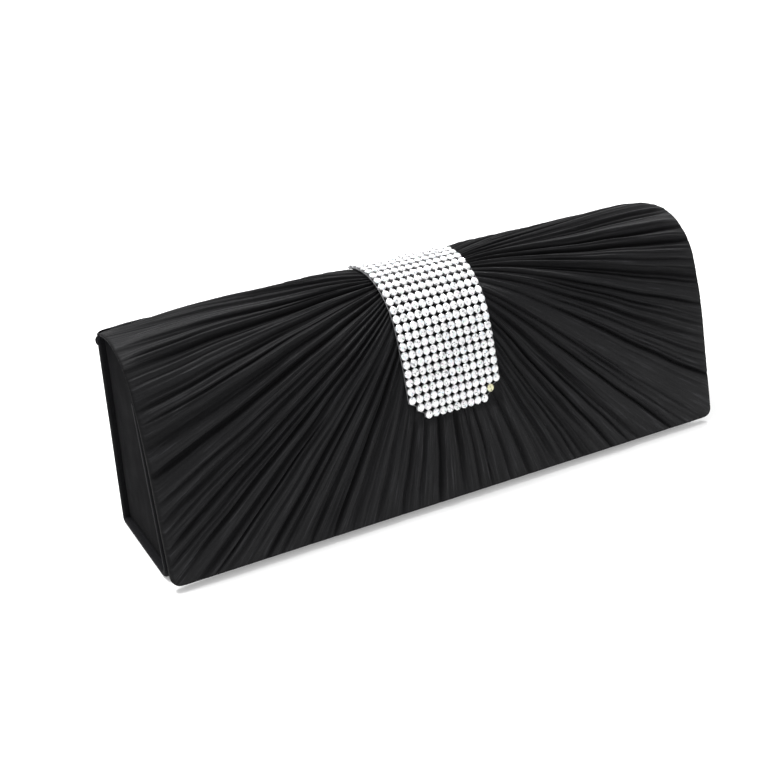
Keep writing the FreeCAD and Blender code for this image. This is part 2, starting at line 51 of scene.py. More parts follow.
import bpy
import numpy as np
from mathutils import Matrix, Vector

# A hard-case evening bag: everything is in metres, +X across the bag, the flap faces -Y, +Z up.
MM = 0.001

# ---- Lines that the bag's curved layers follow in the YZ plane ----


def bent_line(start, heading, runs, step=0.1 * MM):
    """Return a function from distances along a line to (y, z, heading).

    The line starts at start = (y, z) and turns clockwise. Each run is (length, 0) when straight,
    or (turn in radians, radius). Past its ends the line goes on straight."""
    distances, headings = [0.0], [heading]
    for amount, radius in runs:
        length = amount * radius if radius else amount
        turn = amount if radius else 0.0
        pieces = max(1, math.ceil(length / step))
        for piece in range(1, pieces + 1):
            distances.append(distances[-1] + length / pieces)
            headings.append(headings[-1] - turn / pieces)
    s, h = np.array(distances), np.array(headings)
    middle = (h[1:] + h[:-1]) / 2
    y = start[0] + np.r_[0, np.cumsum(np.cos(middle) * np.diff(s))]
    z = start[1] + np.r_[0, np.cumsum(np.sin(middle) * np.diff(s))]

    def at(distance):
        distance = np.asarray(distance, float)
        inside = np.clip(distance, 0, s[-1])
        beyond = distance - inside
        angle = np.interp(inside, s, h)
        return (
            np.interp(inside, s, y) + beyond * np.cos(angle),
            np.interp(inside, s, z) + beyond * np.sin(angle),
            angle,
        )

    at.length = s[-1]
    return at


def lay_on(line, x, s, height):
    """Return points at (x, s) on a line's surface, raised by height along its outward normal."""
    y, z, angle = line(s)
    return np.stack([x, y - np.sin(angle) * height, z + np.cos(angle) * height], axis=-1)


# The flap's outer line, as the CAD model has it
FLAP_THICKNESS = 3.2 * MM
SHELL_THICKNESS = 3.35 * MM
FLAP_ANGLE = math.radians(77)
FLAP_RUNS = [
    (43 * MM, 0),
    (math.radians(9), 178 * MM),
    (math.radians(69.3), 26.4 * MM),
    (math.radians(15.2), 41 * MM),
    (2.6 * MM, 0),
]
flap_low, flap_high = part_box("flap_cover")
FLAP_HALF = flap_high[0]
FLAP_FOOT = (flap_low[1], flap_low[2] + FLAP_THICKNESS * math.cos(FLAP_ANGLE))
flap_line = bent_line(FLAP_FOOT, FLAP_ANGLE, FLAP_RUNS)

# The case's section: down the back, along the base and up the leaning front
case_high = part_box("case_cover")[1]
CASE_HALF = case_high[0]
BACK_Y, BACK_TOP = case_high[1], case_high[2]
BACK_CORNER = 1.5 * MM
FRONT_CORNER = 5 * MM
FRONT_ANGLE = math.radians(78.2)
FRONT_TOP = 68 * MM
CASE_DEPTH = 51 * MM
FRONT_TURN = math.pi - FRONT_ANGLE
WALL = 2.8 * MM
LINED_WALL = 2.9 * MM


def case_section(inset, back_corner, lowered=0.0):
    """Return the case's line moved inwards by inset, with the distances where its runs meet."""
    front_corner = max(FRONT_CORNER - inset, 0.5 * MM)
    bend = math.tan(FRONT_TURN / 2)
    runs = [
        (BACK_TOP - lowered - inset - back_corner, 0),
        (math.pi / 2, back_corner),
        (CASE_DEPTH - inset * (1 + bend) - back_corner - front_corner * bend, 0),
        (FRONT_TURN, front_corner),
        (FRONT_TOP / math.sin(FRONT_ANGLE) - lowered - (inset + front_corner) * bend, 0),
    ]
    line = bent_line((BACK_Y - inset, BACK_TOP - lowered), -math.pi / 2, runs)
    lengths = [amount * radius if radius else amount for amount, radius in runs]
    return line, np.r_[0, np.cumsum(lengths)]


def between(outer, outer_marks, inner, inner_marks, thickness):
    """Return a placing function for a wall that lies between two lines of the same runs."""

    def place(x, s, height):
        inward = np.interp(s, outer_marks, inner_marks)
        outside, inside = lay_on(outer, x, s, 0), lay_on(inner, x, inward, 0)
        return outside + (inside - outside) * (-height / thickness)[..., None]

    return place


def smooth_line(points, rounds=4):
    """Return a line through the middle of a few (y, z) points in millimetres, with rounded corners."""
    path = np.array(points, float) * MM
    for _ in range(rounds):
        near, far = 0.75 * path[:-1] + 0.25 * path[1:], 0.25 * path[:-1] + 0.75 * path[1:]
        path = np.concatenate([path[:1], np.stack([near, far], axis=1).reshape(-1, 2), path[-1:]])
    step = np.diff(path, axis=0)
    marks = np.r_[0, np.cumsum(np.hypot(step[:, 0], step[:, 1]))]
    middle = (marks[1:] + marks[:-1]) / 2
    heading = np.unwrap(np.arctan2(step[:, 1], step[:, 0]))

    def at(distance):
        return (
            np.interp(distance, marks, path[:, 0]),
            np.interp(distance, marks, path[:, 1]),
            np.interp(distance, middle, heading),
        )

    at.length = marks[-1]
    return at


# ---- Mesh building ----


def signed_volume(points, quads, triangles):
    """Return a closed mesh's volume, negative when its faces look inwards."""
    middle = points.mean(axis=0)
    total = 0.0
    for faces in (quads[:, [0, 1, 2]], quads[:, [0, 2, 3]], triangles):
        a, b, c = (points[faces[:, corner]] - middle for corner in range(3))
        total += np.einsum("ij,ij->", a, np.cross(b, c))
    return total / 6


def make_mesh(name, points, quads, triangles=None, uv=None, smooth=True):
    """Make an object from an array of points and arrays of quads and triangles.

    The faces of a closed mesh are turned to look outwards. uv has a row for each point, or for
    each corner of the triangles when there are only triangles."""
    points = np.asarray(points, float)
    quads = np.asarray(quads, np.int32).reshape(-1, 4)
    triangles = np.asarray([] if triangles is None else triangles, np.int32).reshape(-1, 3)
    if signed_volume(points, quads, triangles) < 0:
        quads, triangles = quads[:, ::-1], triangles[:, ::-1]
    corners = np.r_[quads.ravel(), triangles.ravel()]
    starts = np.r_[np.arange(len(quads)) * 4, quads.size + np.arange(len(triangles)) * 3]
    mesh = bpy.data.meshes.new(name)
    mesh.vertices.add(len(points))
    mesh.vertices.foreach_set("co", np.asarray(points, np.float32).ravel())
    mesh.loops.add(len(corners))
    mesh.loops.foreach_set("vertex_index", corners)
    mesh.polygons.add(len(starts))
    mesh.polygons.foreach_set("loop_start", starts.astype(np.int32))
    mesh.update(calc_edges=True)
    if uv is not None:
        layer = mesh.uv_layers.new(name="UVMap")
        uv = np.asarray(uv, np.float32)
        layer.data.foreach_set("uv", (uv[corners] if len(uv) == len(points) else uv).ravel())
    mesh.validate()
    mesh.polygons.foreach_set("use_smooth", np.full(len(starts), smooth))
    thing = bpy.data.objects.new(name, mesh)
    bpy.context.scene.collection.objects.link(thing)
    return thing


def spread(low, high, step, edge, edge_steps=5):
    """Return positions from low to high: evenly spaced, and closer within edge of both ends."""
    arc = edge * (1 - np.cos(np.linspace(0, math.pi / 2, edge_steps, endpoint=False)))
    count = max(2, int(round((high - low - 2 * edge) / step)) + 1)
    inner = np.linspace(low + edge, high - edge, count)
    return np.r_[low + arc, inner, high - arc[::-1]]


def edge_drop(distance, radius):
    """Return how far a rounded edge has dropped at some distance in from the outline."""
    inside = np.clip(radius - distance, 0, radius)
    return radius - np.sqrt(np.maximum(radius**2 - inside**2, 0))


def grid_quads(rows, columns, first=0, flip=False):
    """Return the quads of a grid of points, row by row."""
    index = first + np.arange(rows * columns).reshape(rows, columns)
    quads = np.stack([index[:-1, :-1], index[:-1, 1:], index[1:, 1:], index[1:, :-1]], axis=-1)
    quads = quads.reshape(-1, 4)
    return quads[:, ::-1] if flip else quads


def rim_quads(rows, columns, offset):
    """Return quads that join the outlines of two grids, the second one offset points on."""
    index = np.arange(rows * columns).reshape(rows, columns)
    loop = np.r_[index[0, :-1], index[:-1, -1], index[-1, :0:-1], index[:0:-1, 0]]
    after = np.roll(loop, -1)
    return np.stack([after, loop, loop + offset, after + offset], axis=-1)


def slab(name, place, us, vs, thickness, edge, height=None):
    """Make a closed slab with rounded edges. place(u, v, height) gives its points."""
    u, v = np.meshgrid(us, vs, indexing="ij")
    inset = np.minimum.reduce([u - us[0], us[-1] - u, v - vs[0], vs[-1] - v])
    drop = edge_drop(inset, edge)
    raised = height(u, v) if height else np.zeros_like(u)
    top = place(u, v, raised - drop).reshape(-1, 3)
    bottom = place(u, v, drop - thickness).reshape(-1, 3)
    rows, columns = u.shape
    quads = np.concatenate([
        grid_quads(rows, columns),
        grid_quads(rows, columns, first=len(top), flip=True),
        rim_quads(rows, columns, len(top)),
    ])
    uv = np.tile(np.stack([u.ravel(), v.ravel()], axis=-1), (2, 1))
    return make_mesh(name, np.concatenate([top, bottom]), quads, uv=uv)


def tube_faces(rings, around, first=0):
    """Return the quads and the end triangles of a closed tube whose points come ring by ring."""
    index = first + np.arange(rings * around).reshape(rings, around)
    after = np.roll(index, -1, axis=1)
    quads = np.stack([index[:-1], after[:-1], after[1:], index[1:]], axis=-1).reshape(-1, 4)
    fan = np.arange(1, around - 1)
    low = np.stack([np.full(around - 2, index[0, 0]), index[0, fan + 1], index[0, fan]], axis=-1)
    high = np.stack([np.full(around - 2, index[-1, 0]), index[-1, fan], index[-1, fan + 1]], axis=-1)
    return quads, np.concatenate([low, high])


def ripples(seed, count, shortest, longest):
    """Return a smooth random function of two lengths, about -1 to 1, from a few waves."""
    rng = np.random.default_rng(seed)
    length = rng.uniform(shortest, longest, count)
    direction = rng.uniform(0, math.pi, count)
    phase = rng.uniform(0, 2 * math.pi, count)

    def at(u, v):
        total = np.zeros(np.broadcast(u, v).shape)
        for size, angle, start in zip(length, direction, phase):
            along = u * math.cos(angle) + v * math.sin(angle)
            total += np.sin(2 * math.pi * along / size + start)
        return total / math.sqrt(count)

    return at


# ---- The pleated flap ----

FAN_S = 97 * MM          # how far up the flap's line the pleats meet, under the band
EDGE = 1.3 * MM
FOOT_CORNER = 4 * MM
REAR_CORNER = 5 * MM
FLAP_REAR = flap_line.length
BAND_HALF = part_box("band_backing")[1][0]


def fold_set(seed, mean, variation, valley, depth, tilt, bulge, lip, starts):
    """Return a function of (angle, radius): flat pleats round the whole fan with narrow valleys.

    mean is a pleat's angle in degrees, valley a valley's half width, depth its lowest and highest
    depth, tilt how much one side of a pleat may stand above the other, bulge and lip how much of
    its depth a pleat rises in its middle and along one side, and starts the nearest and furthest
    that a valley begins."""
    rng = np.random.default_rng(seed)
    count = int(round(2 * math.pi / math.radians(mean)))
    widths = np.exp(rng.normal(0, variation, count))
    widths *= 2 * math.pi / widths.sum()
    bounds = np.r_[0, np.cumsum(widths)] - math.pi
    deep = rng.uniform(*depth, count)
    narrow = valley * rng.uniform(0.7, 1.4, count)
    slant = rng.uniform(-tilt, tilt, count)
    begins = rng.uniform(*starts, count)
    ends = rng.uniform(80, 300, count) * MM

    def at(angle, radius):
        """Return the height and, from 0 to 1, how far into a valley each point is."""
        wrapped = (angle + math.pi) % (2 * math.pi) - math.pi
        k = np.clip(np.searchsorted(bounds, wrapped, side="right") - 1, 0, count - 1)
        t = np.clip((wrapped - bounds[k]) / widths[k], 0, 1)
        width = widths[k] * radius
        height = slant[k] * (t - 0.5) * np.clip(width / (4 * MM), 0, 1)
        height += bulge * deep[k] * (1 - (2 * t - 1) ** 2) * np.clip(width / (4 * MM), 0, 1)
        inside = np.zeros_like(height)
        for edge, gap in ((k, t * width), ((k + 1) % count, (1 - t) * width)):
            opened = np.clip((radius - begins[edge]) / (18 * MM), 0, 1)
            opened *= np.clip((ends[edge] - radius) / (25 * MM), 0.1, 1)
            reach = np.minimum(narrow[edge], 0.3 * width + 0.05 * MM)
            low = np.minimum(deep[edge], 1.6 * reach + 0.25 * width) * opened
            share = np.exp(-((gap / reach) ** 1.5))
            height -= low * share
            if edge is k:
                height += lip * low * np.exp(-(((gap - 1.7 * reach) / (0.6 * reach)) ** 2))
            inside = np.maximum(inside, share * low / depth[1])
        return height, inside

    return at


crown_folds = fold_set(
    13, 4.2, 0.3, 1.7 * MM, (0.7 * MM, 1.7 * MM), 0.4 * MM, 0.6, 0.3, (-0.04, 0.01))
crown_pleats = fold_set(
    29, 0.95, 0.35, 0.45 * MM, (0.15 * MM, 0.6 * MM), 0.2 * MM, 0.3, 0.3, (0.0, 0.05))
broad_folds = fold_set(
    11, 4.8, 0.35, 0.8 * MM, (0.6 * MM, 1.4 * MM), 0.6 * MM, 0.3, 0.45, (-0.04, 0.01))
half_folds = fold_set(
    23, 3.4, 0.3, 0.5 * MM, (0.4 * MM, 1.2 * MM), 0.4 * MM, 0.15, 0.5, (0.02, 0.07))
pleats = fold_set(
    5, 1.5, 0.35, 0.45 * MM, (0.05 * MM, 0.6 * MM), 0.25 * MM, 0.2, 0.4, (0.03, 0.1))
wander = ripples(3, 6, 45 * MM, 120 * MM)
wander_fine = ripples(4, 6, 14 * MM, 34 * MM)
swell = ripples(9, 5, 60 * MM, 140 * MM)
LOWEST_PLEAT = -1.75 * MM


def pleat_shape(x, s):
    """Return how far the gathered satin stands above the flap's outer line, and from 0 to 1 how much painted
    shade its creases get.
    """
    radius = np.hypot(x, FAN_S - s)
    angle = np.arctan2(x, FAN_S - s)
    shift = 0.42 * MM * wander(x, s) + 0.13 * MM * wander_fine(x, s)
    angle = angle + shift / np.maximum(radius, 12 * MM)
    crown = np.clip((np.abs(angle) - math.radians(58)) / math.radians(20), 0, 1)
    front = 1 - np.clip((np.abs(angle) - math.radians(15)) / math.radians(25), 0, 1)
    shares = (
        # Each fold set's third number weights the painted shade that its valleys put into the colour.
        (crown_folds, crown, 0.8), (crown_pleats, 1.2 * crown, 0.5),
        (broad_folds, 1 + 0.1 * front - 0.5 * crown, 0.9),
        (half_folds, 1 - 0.75 * front - 0.5 * crown, 1.0), (pleats, 1 - 0.4 * crown - 0.5 * front, 0.45),
    )
    folds, crease_and_painted_shade = 0, 0
    for fold, share, painted_shade_weight in shares:
        lift, inside = fold(angle, radius)
        folds, crease_and_painted_shade = folds + share * lift, crease_and_painted_shade + share * painted_shade_weight * inside
    crease_and_painted_shade = np.clip(crease_and_painted_shade, 0, 1)
    roll = np.sin(angle * 23 + 1.5 * np.sin(angle * 5)) * np.clip(radius / (90 * MM), 0, 1)
    beside = np.abs(x) - BAND_HALF
    pinch = np.exp(-((np.clip(beside, 0, None) / (6 * MM)) ** 2))
    puff = np.exp(-(((beside - 20 * MM) / (16 * MM)) ** 2)) * np.where(x < 0, 1, 0.25)
    over_top = 1 / (1 + np.exp(-(s - 70 * MM) / (8 * MM)))
    inset = np.minimum.reduce([FLAP_HALF - np.abs(x), s, FLAP_REAR - s]) - EDGE
    rim = np.clip(inset / (9 * MM), 0, 1)
    taut = 0.15 + 0.85 * rim * (2 - rim)
    height = folds * (1 - 0.3 * pinch * over_top) + (0.25 + 0.35 * over_top) * MM * roll
    height = (height + 0.2 * MM * swell(x, s)) * taut + 0.35 * MM
    reach, fall = np.where(x < 0, 42 * MM, 24 * MM), np.where(x < 0, 2.8 * MM, 1.3 * MM)
    droop = fall * np.clip(1 - (FLAP_HALF - np.abs(x)) / reach, 0, 1) ** 1.7
    from_corner = np.hypot(FLAP_HALF - np.abs(x), FLAP_REAR - s)
    tucked = np.exp(-((from_corner / (9 * MM)) ** 2))
    height += over_top * (0.6 * MM * puff - 0.45 * MM * pinch - droop - 1.1 * MM * tucked)
    settled = LOWEST_PLEAT * (1 - 0.5 * np.exp(1 - 2 * height / LOWEST_PLEAT))
    height = np.where(height < LOWEST_PLEAT / 2, settled, height)
    covered = np.clip(-beside / (2 * MM), 0, 1) * (s > 34 * MM)
    return np.where(covered > 0, np.minimum(height, -0.1 * MM - 0.5 * MM * covered), height), crease_and_painted_shade


def flap_outline(angles, inset):
    """Return (x, s) where rays from the fan's middle meet the flap's outline, moved in by inset."""
    half, low, high = FLAP_HALF - inset, inset, FLAP_REAR - inset
    dx, ds = np.sin(angles), -np.cos(angles)
    with np.errstate(divide="ignore", invalid="ignore"):
        to_side = np.where(np.abs(dx) > 1e-9, half / np.abs(dx), np.inf)
        to_end = np.where(ds > 0, (high - FAN_S) / ds, np.where(ds < 0, (FAN_S - low) / -ds, np.inf))
    reach = np.minimum(to_side, to_end)
    x, s = dx * reach, FAN_S + ds * reach
    for corner, end, inward in ((FOOT_CORNER - inset, low, 1), (REAR_CORNER - inset, high, -1)):
        centre_x, centre_s = np.sign(x) * (half - corner), end + inward * corner
        in_corner = (np.abs(x) > half - corner) & ((s - centre_s) * inward < 0)
        across, down = -centre_x, FAN_S - centre_s
        along = dx * across + ds * down
        gap = across**2 + down**2 - corner**2
        rounded = np.sqrt(np.maximum(along**2 - gap, 0)) - along
        x = np.where(in_corner, dx * rounded, x)
        s = np.where(in_corner, FAN_S + ds * rounded, s)
    return x, s


def flap_rays(step):
    """Return ray angles that divide the flap's outline into steps of about one length."""
    fine = np.linspace(-math.pi, math.pi, 20001)
    x, s = flap_outline(fine, 0)
    travelled = np.r_[0, np.cumsum(np.hypot(np.diff(x), np.diff(s)))]
    count = int(round(travelled[-1] / step))
    return np.interp(np.arange(count) / count * travelled[-1], travelled, fine)


def ring_quads(count, rings, first):
    """Return the quads between rings of count points each, the first point numbered first."""
    index = first + np.arange(count * rings).reshape(rings, count)
    after = np.roll(index, -1, axis=1)
    quads = np.stack([index[:-1], index[1:], after[1:], after[:-1]], axis=-1)
    return quads.reshape(-1, 4)


def build_flap_cover():
    """Make the pleated satin as a closed shell whose faces run along the pleats."""
    angles = flap_rays(0.46 * MM)
    inner_x, inner_s = flap_outline(angles, EDGE)
    outer_x, outer_s = flap_outline(angles, 0)
    away_x = np.gradient(np.r_[outer_s[-1], outer_s, outer_s[0]])[1:-1]
    away_s = -np.gradient(np.r_[outer_x[-1], outer_x, outer_x[0]])[1:-1]
    away = np.stack([away_x, away_s]) / np.hypot(away_x, away_s)
    away *= np.sign(away[0] * outer_x + away[1] * (outer_s - FAN_S))
    rings = []
    for share in np.linspace(0.03, 1, 46) ** 0.85:
        x, s = inner_x * share, FAN_S + (inner_s - FAN_S) * share
        rings.append((x, s, *pleat_shape(x, s)))
    rim, rim_painted_shade = pleat_shape(inner_x, inner_s)
    # Painted shade: the rim is darkened more the further it turns over the edge.
    for bend in np.linspace(0, math.pi / 2, 5)[1:]:
        reach = EDGE * math.sin(bend)
        settle = 0.35 + 0.65 * math.cos(bend)
        rings.append((inner_x + away[0] * reach, inner_s + away[1] * reach,
                      rim * settle - EDGE * (1 - math.cos(bend)), np.maximum(rim_painted_shade, math.sin(bend))))
    # Painted shade: the underside of the rim is darkened fully.
    for bend in np.linspace(math.pi / 2, 0, 4):
        reach = EDGE * math.sin(bend)
        rings.append((inner_x + away[0] * reach, inner_s + away[1] * reach,
                      np.full_like(inner_x, EDGE * (1 - math.cos(bend)) - SHELL_THICKNESS), 0 * rim + 1))
    upper = len(rings)
    for share in np.linspace(1, 0.04, 25)[1:]:
        x, s = inner_x[::4] * share, FAN_S + (inner_s[::4] - FAN_S) * share
        rings.append((x, s, np.full_like(x, -SHELL_THICKNESS), 0 * x))
    x, s, height, crease_and_painted_shade = (np.concatenate(column) for column in zip(*rings))
    points = lay_on(flap_line, x, s, height)
    count, few = len(angles), len(angles) // 4
    turn = np.r_[np.tile(angles, upper), np.tile(angles[::4], len(rings) - upper)]
    uv = np.stack([turn, np.hypot(x, FAN_S - s) * 10], axis=-1)
    centres = lay_on(flap_line, np.zeros(2), np.full(2, FAN_S), np.array([-0.6 * MM, -SHELL_THICKNESS]))
    rim_start, under_start = (upper - 1) * count, upper * count
    ring, coarse = np.arange(count), np.arange(few)
    last = under_start + (len(rings) - upper - 1) * few
    edge = [rim_start + (coarse * 4 + shift) % count for shift in range(5)]
    here, after = under_start + coarse, under_start + (coarse + 1) % few
    triangles = [
        np.stack([np.full(count, len(points)), ring, np.roll(ring, -1)], axis=-1),
        np.stack([np.full(few, len(points) + 1), last + np.roll(coarse, -1), last + coarse], axis=-1),
        np.stack([edge[0], here, edge[1]], axis=-1),
        np.stack([edge[1], here, edge[2]], axis=-1),
        np.stack([here, after, edge[2]], axis=-1),
        np.stack([edge[2], after, edge[3]], axis=-1),
        np.stack([edge[3], after, edge[4]], axis=-1),
    ]
    quads = [ring_quads(count, upper, 0), ring_quads(few, len(rings) - upper, under_start)]
    cover = make_mesh(
        "pleated_flap_cover", np.concatenate([points, centres]), np.concatenate(quads),
        triangles=np.concatenate(triangles), uv=np.concatenate([uv, np.zeros((2, 2))]),
    )
    # These values go on the mesh for the material's painted shade in the valleys and on the rim.
    shade = cover.data.attributes.new("crease_and_painted_shade", "FLOAT", "POINT")
    shade.data.foreach_set("value", np.r_[crease_and_painted_shade, 0, 0].astype(np.float32))
    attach(cover, "flap")
    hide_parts("flap_cover", "flap_padding")
    dress(cover, PLEATED)


# ---- The case: satin walls, end panels, linings and hinge ----

slack = ripples(21, 7, 9 * MM, 50 * MM)
crease_and_painted_shade = ripples(22, 6, 5 * MM, 16 * MM)


def soft(amount):
    """Return a height function for thin cloth that isn't quite flat."""
    return lambda u, v: amount * (0.7 * slack(u, v) + 0.3 * crease_and_painted_shade(u, v))


def build_case_wrap():
    """Make the boards' satin: one wall round the back, base and front with soft folded edges."""
    outer, outer_marks = case_section(0, BACK_CORNER)
    inner, inner_marks = case_section(WALL, 0.3 * MM)
    place = between(outer, outer_marks, inner, inner_marks, WALL)
    xs = spread(-CASE_HALF, CASE_HALF, 2.5 * MM, 1.1 * MM)
    along = spread(0, outer.length, 1.1 * MM, 1.1 * MM)
    wrap = slab("case_satin_wrap", place, xs, along, WALL, 1.1 * MM, soft(0.07 * MM))
    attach(wrap, "case")
    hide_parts("case_cover")
    dress(wrap, SATIN)


def end_outline(node, step=1.0 * MM):
    """Return the (y, z) outline of an end piece's outer face, its edges split into short steps."""
    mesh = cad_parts[node].data
    points = np.empty(len(mesh.vertices) * 3, np.float32)
    mesh.vertices.foreach_get("co", points)
    points = points.reshape(-1, 3)
    face_x = points[np.abs(points[:, 0]).argmax(), 0]
    on_face = np.abs(points[:, 0] - face_x) < 0.01 * MM
    uses = {}
    for polygon in mesh.polygons:
        if all(on_face[i] for i in polygon.vertices):
            for pair in polygon.edge_keys:
                uses[pair] = uses.get(pair, 0) + 1
    nearby = {}
    for (a, b), times in uses.items():
        if times == 1:
            nearby.setdefault(a, []).append(b)
            nearby.setdefault(b, []).append(a)
    loop = [min(nearby)]
    while True:
        onward = [i for i in nearby[loop[-1]] if i not in loop[-2:]]
        if not onward or onward[0] == loop[0]:
            break
        loop.append(onward[0])
    ring = points[loop + loop[:1], 1:].astype(float)
    travelled = np.r_[0, np.cumsum(np.hypot(*np.diff(ring, axis=0).T))]
    places = np.concatenate([
        np.linspace(near, far, max(1, math.ceil((far - near) / step)), endpoint=False)
        for near, far in zip(travelled, travelled[1:])
    ])
    outline = np.stack([np.interp(places, travelled, ring[:, axis]) for axis in (0, 1)], axis=-1)
    area = np.sum(outline[:, 0] * np.roll(outline[:, 1], -1) - outline[:, 1] * np.roll(outline[:, 0], -1))
    return (outline if area > 0 else outline[::-1]), float(face_x)


PANEL_SHARES = (1, 0.99, 0.975, 0.95, 0.91, 0.86, 0.79, 0.71, 0.62, 0.52, 0.42, 0.32, 0.22, 0.12)


def build_end_panel(name, node, facing, thickness, puff, wrinkle, seed):
    """Make a thin padded panel over an end board. facing is +1 or -1 along X."""
    outline, face_x = end_outline(node)
    if face_x * facing < 0:
        face_x += facing * thickness
    else:
        outward = np.roll(outline, 1, axis=0) - np.roll(outline, -1, axis=0)
        outward = np.stack([-outward[:, 1], outward[:, 0]], axis=-1)
        outline = outline + 0.12 * MM * outward / np.linalg.norm(outward, axis=1)[:, None]
    centre = outline.mean(axis=0)
    wave, fine = ripples(seed, 6, 14 * MM, 45 * MM), ripples(seed + 1, 6, 6 * MM, 16 * MM)
    rings, heights = [], []
    for share in PANEL_SHARES:
        ring = centre + (outline - centre) * share
        settle = 1 - share**8
        drop = edge_drop(np.full(len(ring), (1 - share) * 30 * MM), min(0.4 * MM, 0.6 * thickness))
        bumps = wrinkle * (0.7 * wave(*ring.T) + 0.3 * fine(*ring.T))
        rings.append(ring)
        heights.append(puff * settle + bumps * settle - drop)
    count = len(outline)
    flat = np.concatenate(rings + [outline, centre[None], centre[None]])
    height = np.r_[np.concatenate(heights), np.full(count, -thickness), puff, -thickness]
    points = np.stack([face_x + facing * height, flat[:, 0], flat[:, 1]], axis=-1)
    ring, after = np.arange(count), np.roll(np.arange(count), -1)
    back = len(PANEL_SHARES) * count
    inner = (len(PANEL_SHARES) - 1) * count
    quads = np.concatenate([
        ring_quads(count, len(PANEL_SHARES), 0)[:, ::-1],
        np.stack([ring, back + ring, back + after, after], axis=-1),
    ])
    triangles = np.concatenate([
        np.stack([inner + ring, inner + after, np.full(count, len(points) - 2)], axis=-1),
        np.stack([back + after, back + ring, np.full(count, len(points) - 1)], axis=-1),
    ])
    if facing < 0:
        quads, triangles = quads[:, ::-1], triangles[:, ::-1]
    panel = make_mesh(name, points, quads, triangles=triangles, uv=flat)
    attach(panel, "case")
    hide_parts(node)
    return panel


def build_ends():
    for hand, facing in (("left", -1), ("right", 1)):
        cover = build_end_panel(
            f"{hand}_end_satin", f"{hand}_end_cover", facing, 1.98 * MM, 0.55 * MM, 0.1 * MM, 31 + facing)
        # The end satin is darkened with painted shade.
        dress(cover, END_SATIN_PAINTED_SHADE)
        lining = build_end_panel(
            f"{hand}_end_lining_cloth", f"{hand}_end_lining", -facing, 0.4 * MM, 0.3 * MM, 0.12 * MM,
            41 + facing)
        dress(lining, LINING)


def build_linings():
    outer, outer_marks = case_section(2.5 * MM, 0.6 * MM, lowered=0.5 * MM)
    inner, inner_marks = case_section(LINED_WALL, 0.6 * MM, lowered=0.5 * MM)
    wall = between(inner, inner_marks, outer, outer_marks, 0.4 * MM)
    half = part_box("case_lining")[1][0]
    xs = spread(-half, half, 2.2 * MM, 0.2 * MM, 3)
    along = spread(0, inner.length, 1.5 * MM, 0.2 * MM, 3)
    cloth = slab("case_lining_cloth", wall, xs, along, 0.4 * MM, 0.15 * MM, soft(0.1 * MM))
    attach(cloth, "case")
    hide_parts("case_lining")
    dress(cloth, LINING)

    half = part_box("flap_lining")[1][0]
    depth = FLAP_THICKNESS + 0.4 * MM
    xs = spread(-half, half, 2.2 * MM, 0.2 * MM, 3)
    along = spread(1.8 * MM, FLAP_REAR - 1.7 * MM, 1.5 * MM, 0.2 * MM, 3)
    corner = REAR_CORNER - 0.8 * MM

    def place(x, s, h):
        near_end = np.clip(corner - np.minimum(s - along[0], along[-1] - s), 0, corner)
        narrowed = half - corner + np.sqrt(np.maximum(corner**2 - near_end**2, 0))
        return lay_on(flap_line, x * narrowed / half, s, -depth - h)

    cloth = slab("flap_lining_cloth", place, xs, along, 0.4 * MM, 0.15 * MM, soft(0.1 * MM))
    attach(cloth, "flap")
    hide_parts("flap_lining")
    dress(cloth, LINING)


def build_hinge():
    """Make the satin that bends between back wall and flap, and the lining strip inside it."""
    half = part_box("hinge_strip")[1][0]
    xs = spread(-half, half, 2 * MM, 0.4 * MM, 3)
    back = smooth_line([(25.72, 75.5), (25.74, 80.6), (25.62, 82.6), (24.7, 83.5), (22.0, 84.0)])
    along = spread(0, back.length, 0.3 * MM, 0.2 * MM, 3)

    def behind(x, s, h):
        bend = np.clip((s - 5.5 * MM) / (3 * MM), 0, 1)
        sag = np.clip((np.abs(x) - half + 14 * MM) / (14 * MM), 0, 1) ** 2 * bend
        return lay_on(back, x * (1 - 4.5 * MM * bend**2 / half), s, 0.9 * MM * sag - 0.25 * MM - h)

    outside = slab(
        "hinge_satin", behind, xs, along, 0.5 * MM, 0.2 * MM, lambda u, v: 0.12 * MM * crease_and_painted_shade(u, v))
    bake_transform(outside)
    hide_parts("hinge_strip")
    dress(outside, SATIN)
    inside_line = smooth_line([
        (22.25, 77.0), (22.25, 80.2), (23.3, 80.95), (24.4, 81.3), (23.4, 81.4), (21.0, 81.75),
        (17.0, 82.7),
    ])
    along = spread(0, inside_line.length, 0.35 * MM, 0.15 * MM, 3)
    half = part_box("case_lining")[1][0]
    xs = spread(-half, half, 2 * MM, 0.3 * MM, 3)
    inside = slab(
        "hinge_lining", lambda x, s, h: lay_on(inside_line, x, s, h), xs, along, 0.3 * MM, 0.12 * MM,
        lambda u, v: 0.08 * MM * crease_and_painted_shade(u, v),
    )
    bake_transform(inside)
    dress(inside, LINING)


def build_fold_tips():
    """Make the small tucks where the back wall's satin is folded in at its top corners."""
    for hand, side in (("left", -1), ("right", 1)):
        turn, level = np.meshgrid(
            np.linspace(0, 2 * math.pi, 28, endpoint=False),
            np.sin(np.linspace(-1.45, 1.45, 17)), indexing="ij")
        width = np.sqrt(np.maximum(1 - level**2, 0))
        ridge = 1 + 0.16 * np.sin(3 * turn + 2 * level) + 0.1 * np.sin(5 * turn - 3 * level)
        out = 0.95 * MM * width * ridge * np.cos(turn)
        back = 1.35 * MM * width * ridge * np.sin(turn)
        x = side * (CASE_HALF - 0.45 * MM + out - 0.35 * MM * level)
        y = BACK_Y - 1.1 * MM + back - 0.3 * MM * level
        z = BACK_TOP - 1.0 * MM + 2.2 * MM * level - 0.25 * out
        points = np.stack([x, y, z], axis=-1).transpose(1, 0, 2).reshape(-1, 3)
        quads, triangles = tube_faces(17, 28)
        tip = make_mesh(f"{hand}_fold_tip", points, quads, triangles=triangles)
        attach(tip, "case")
        dress(tip, SATIN)


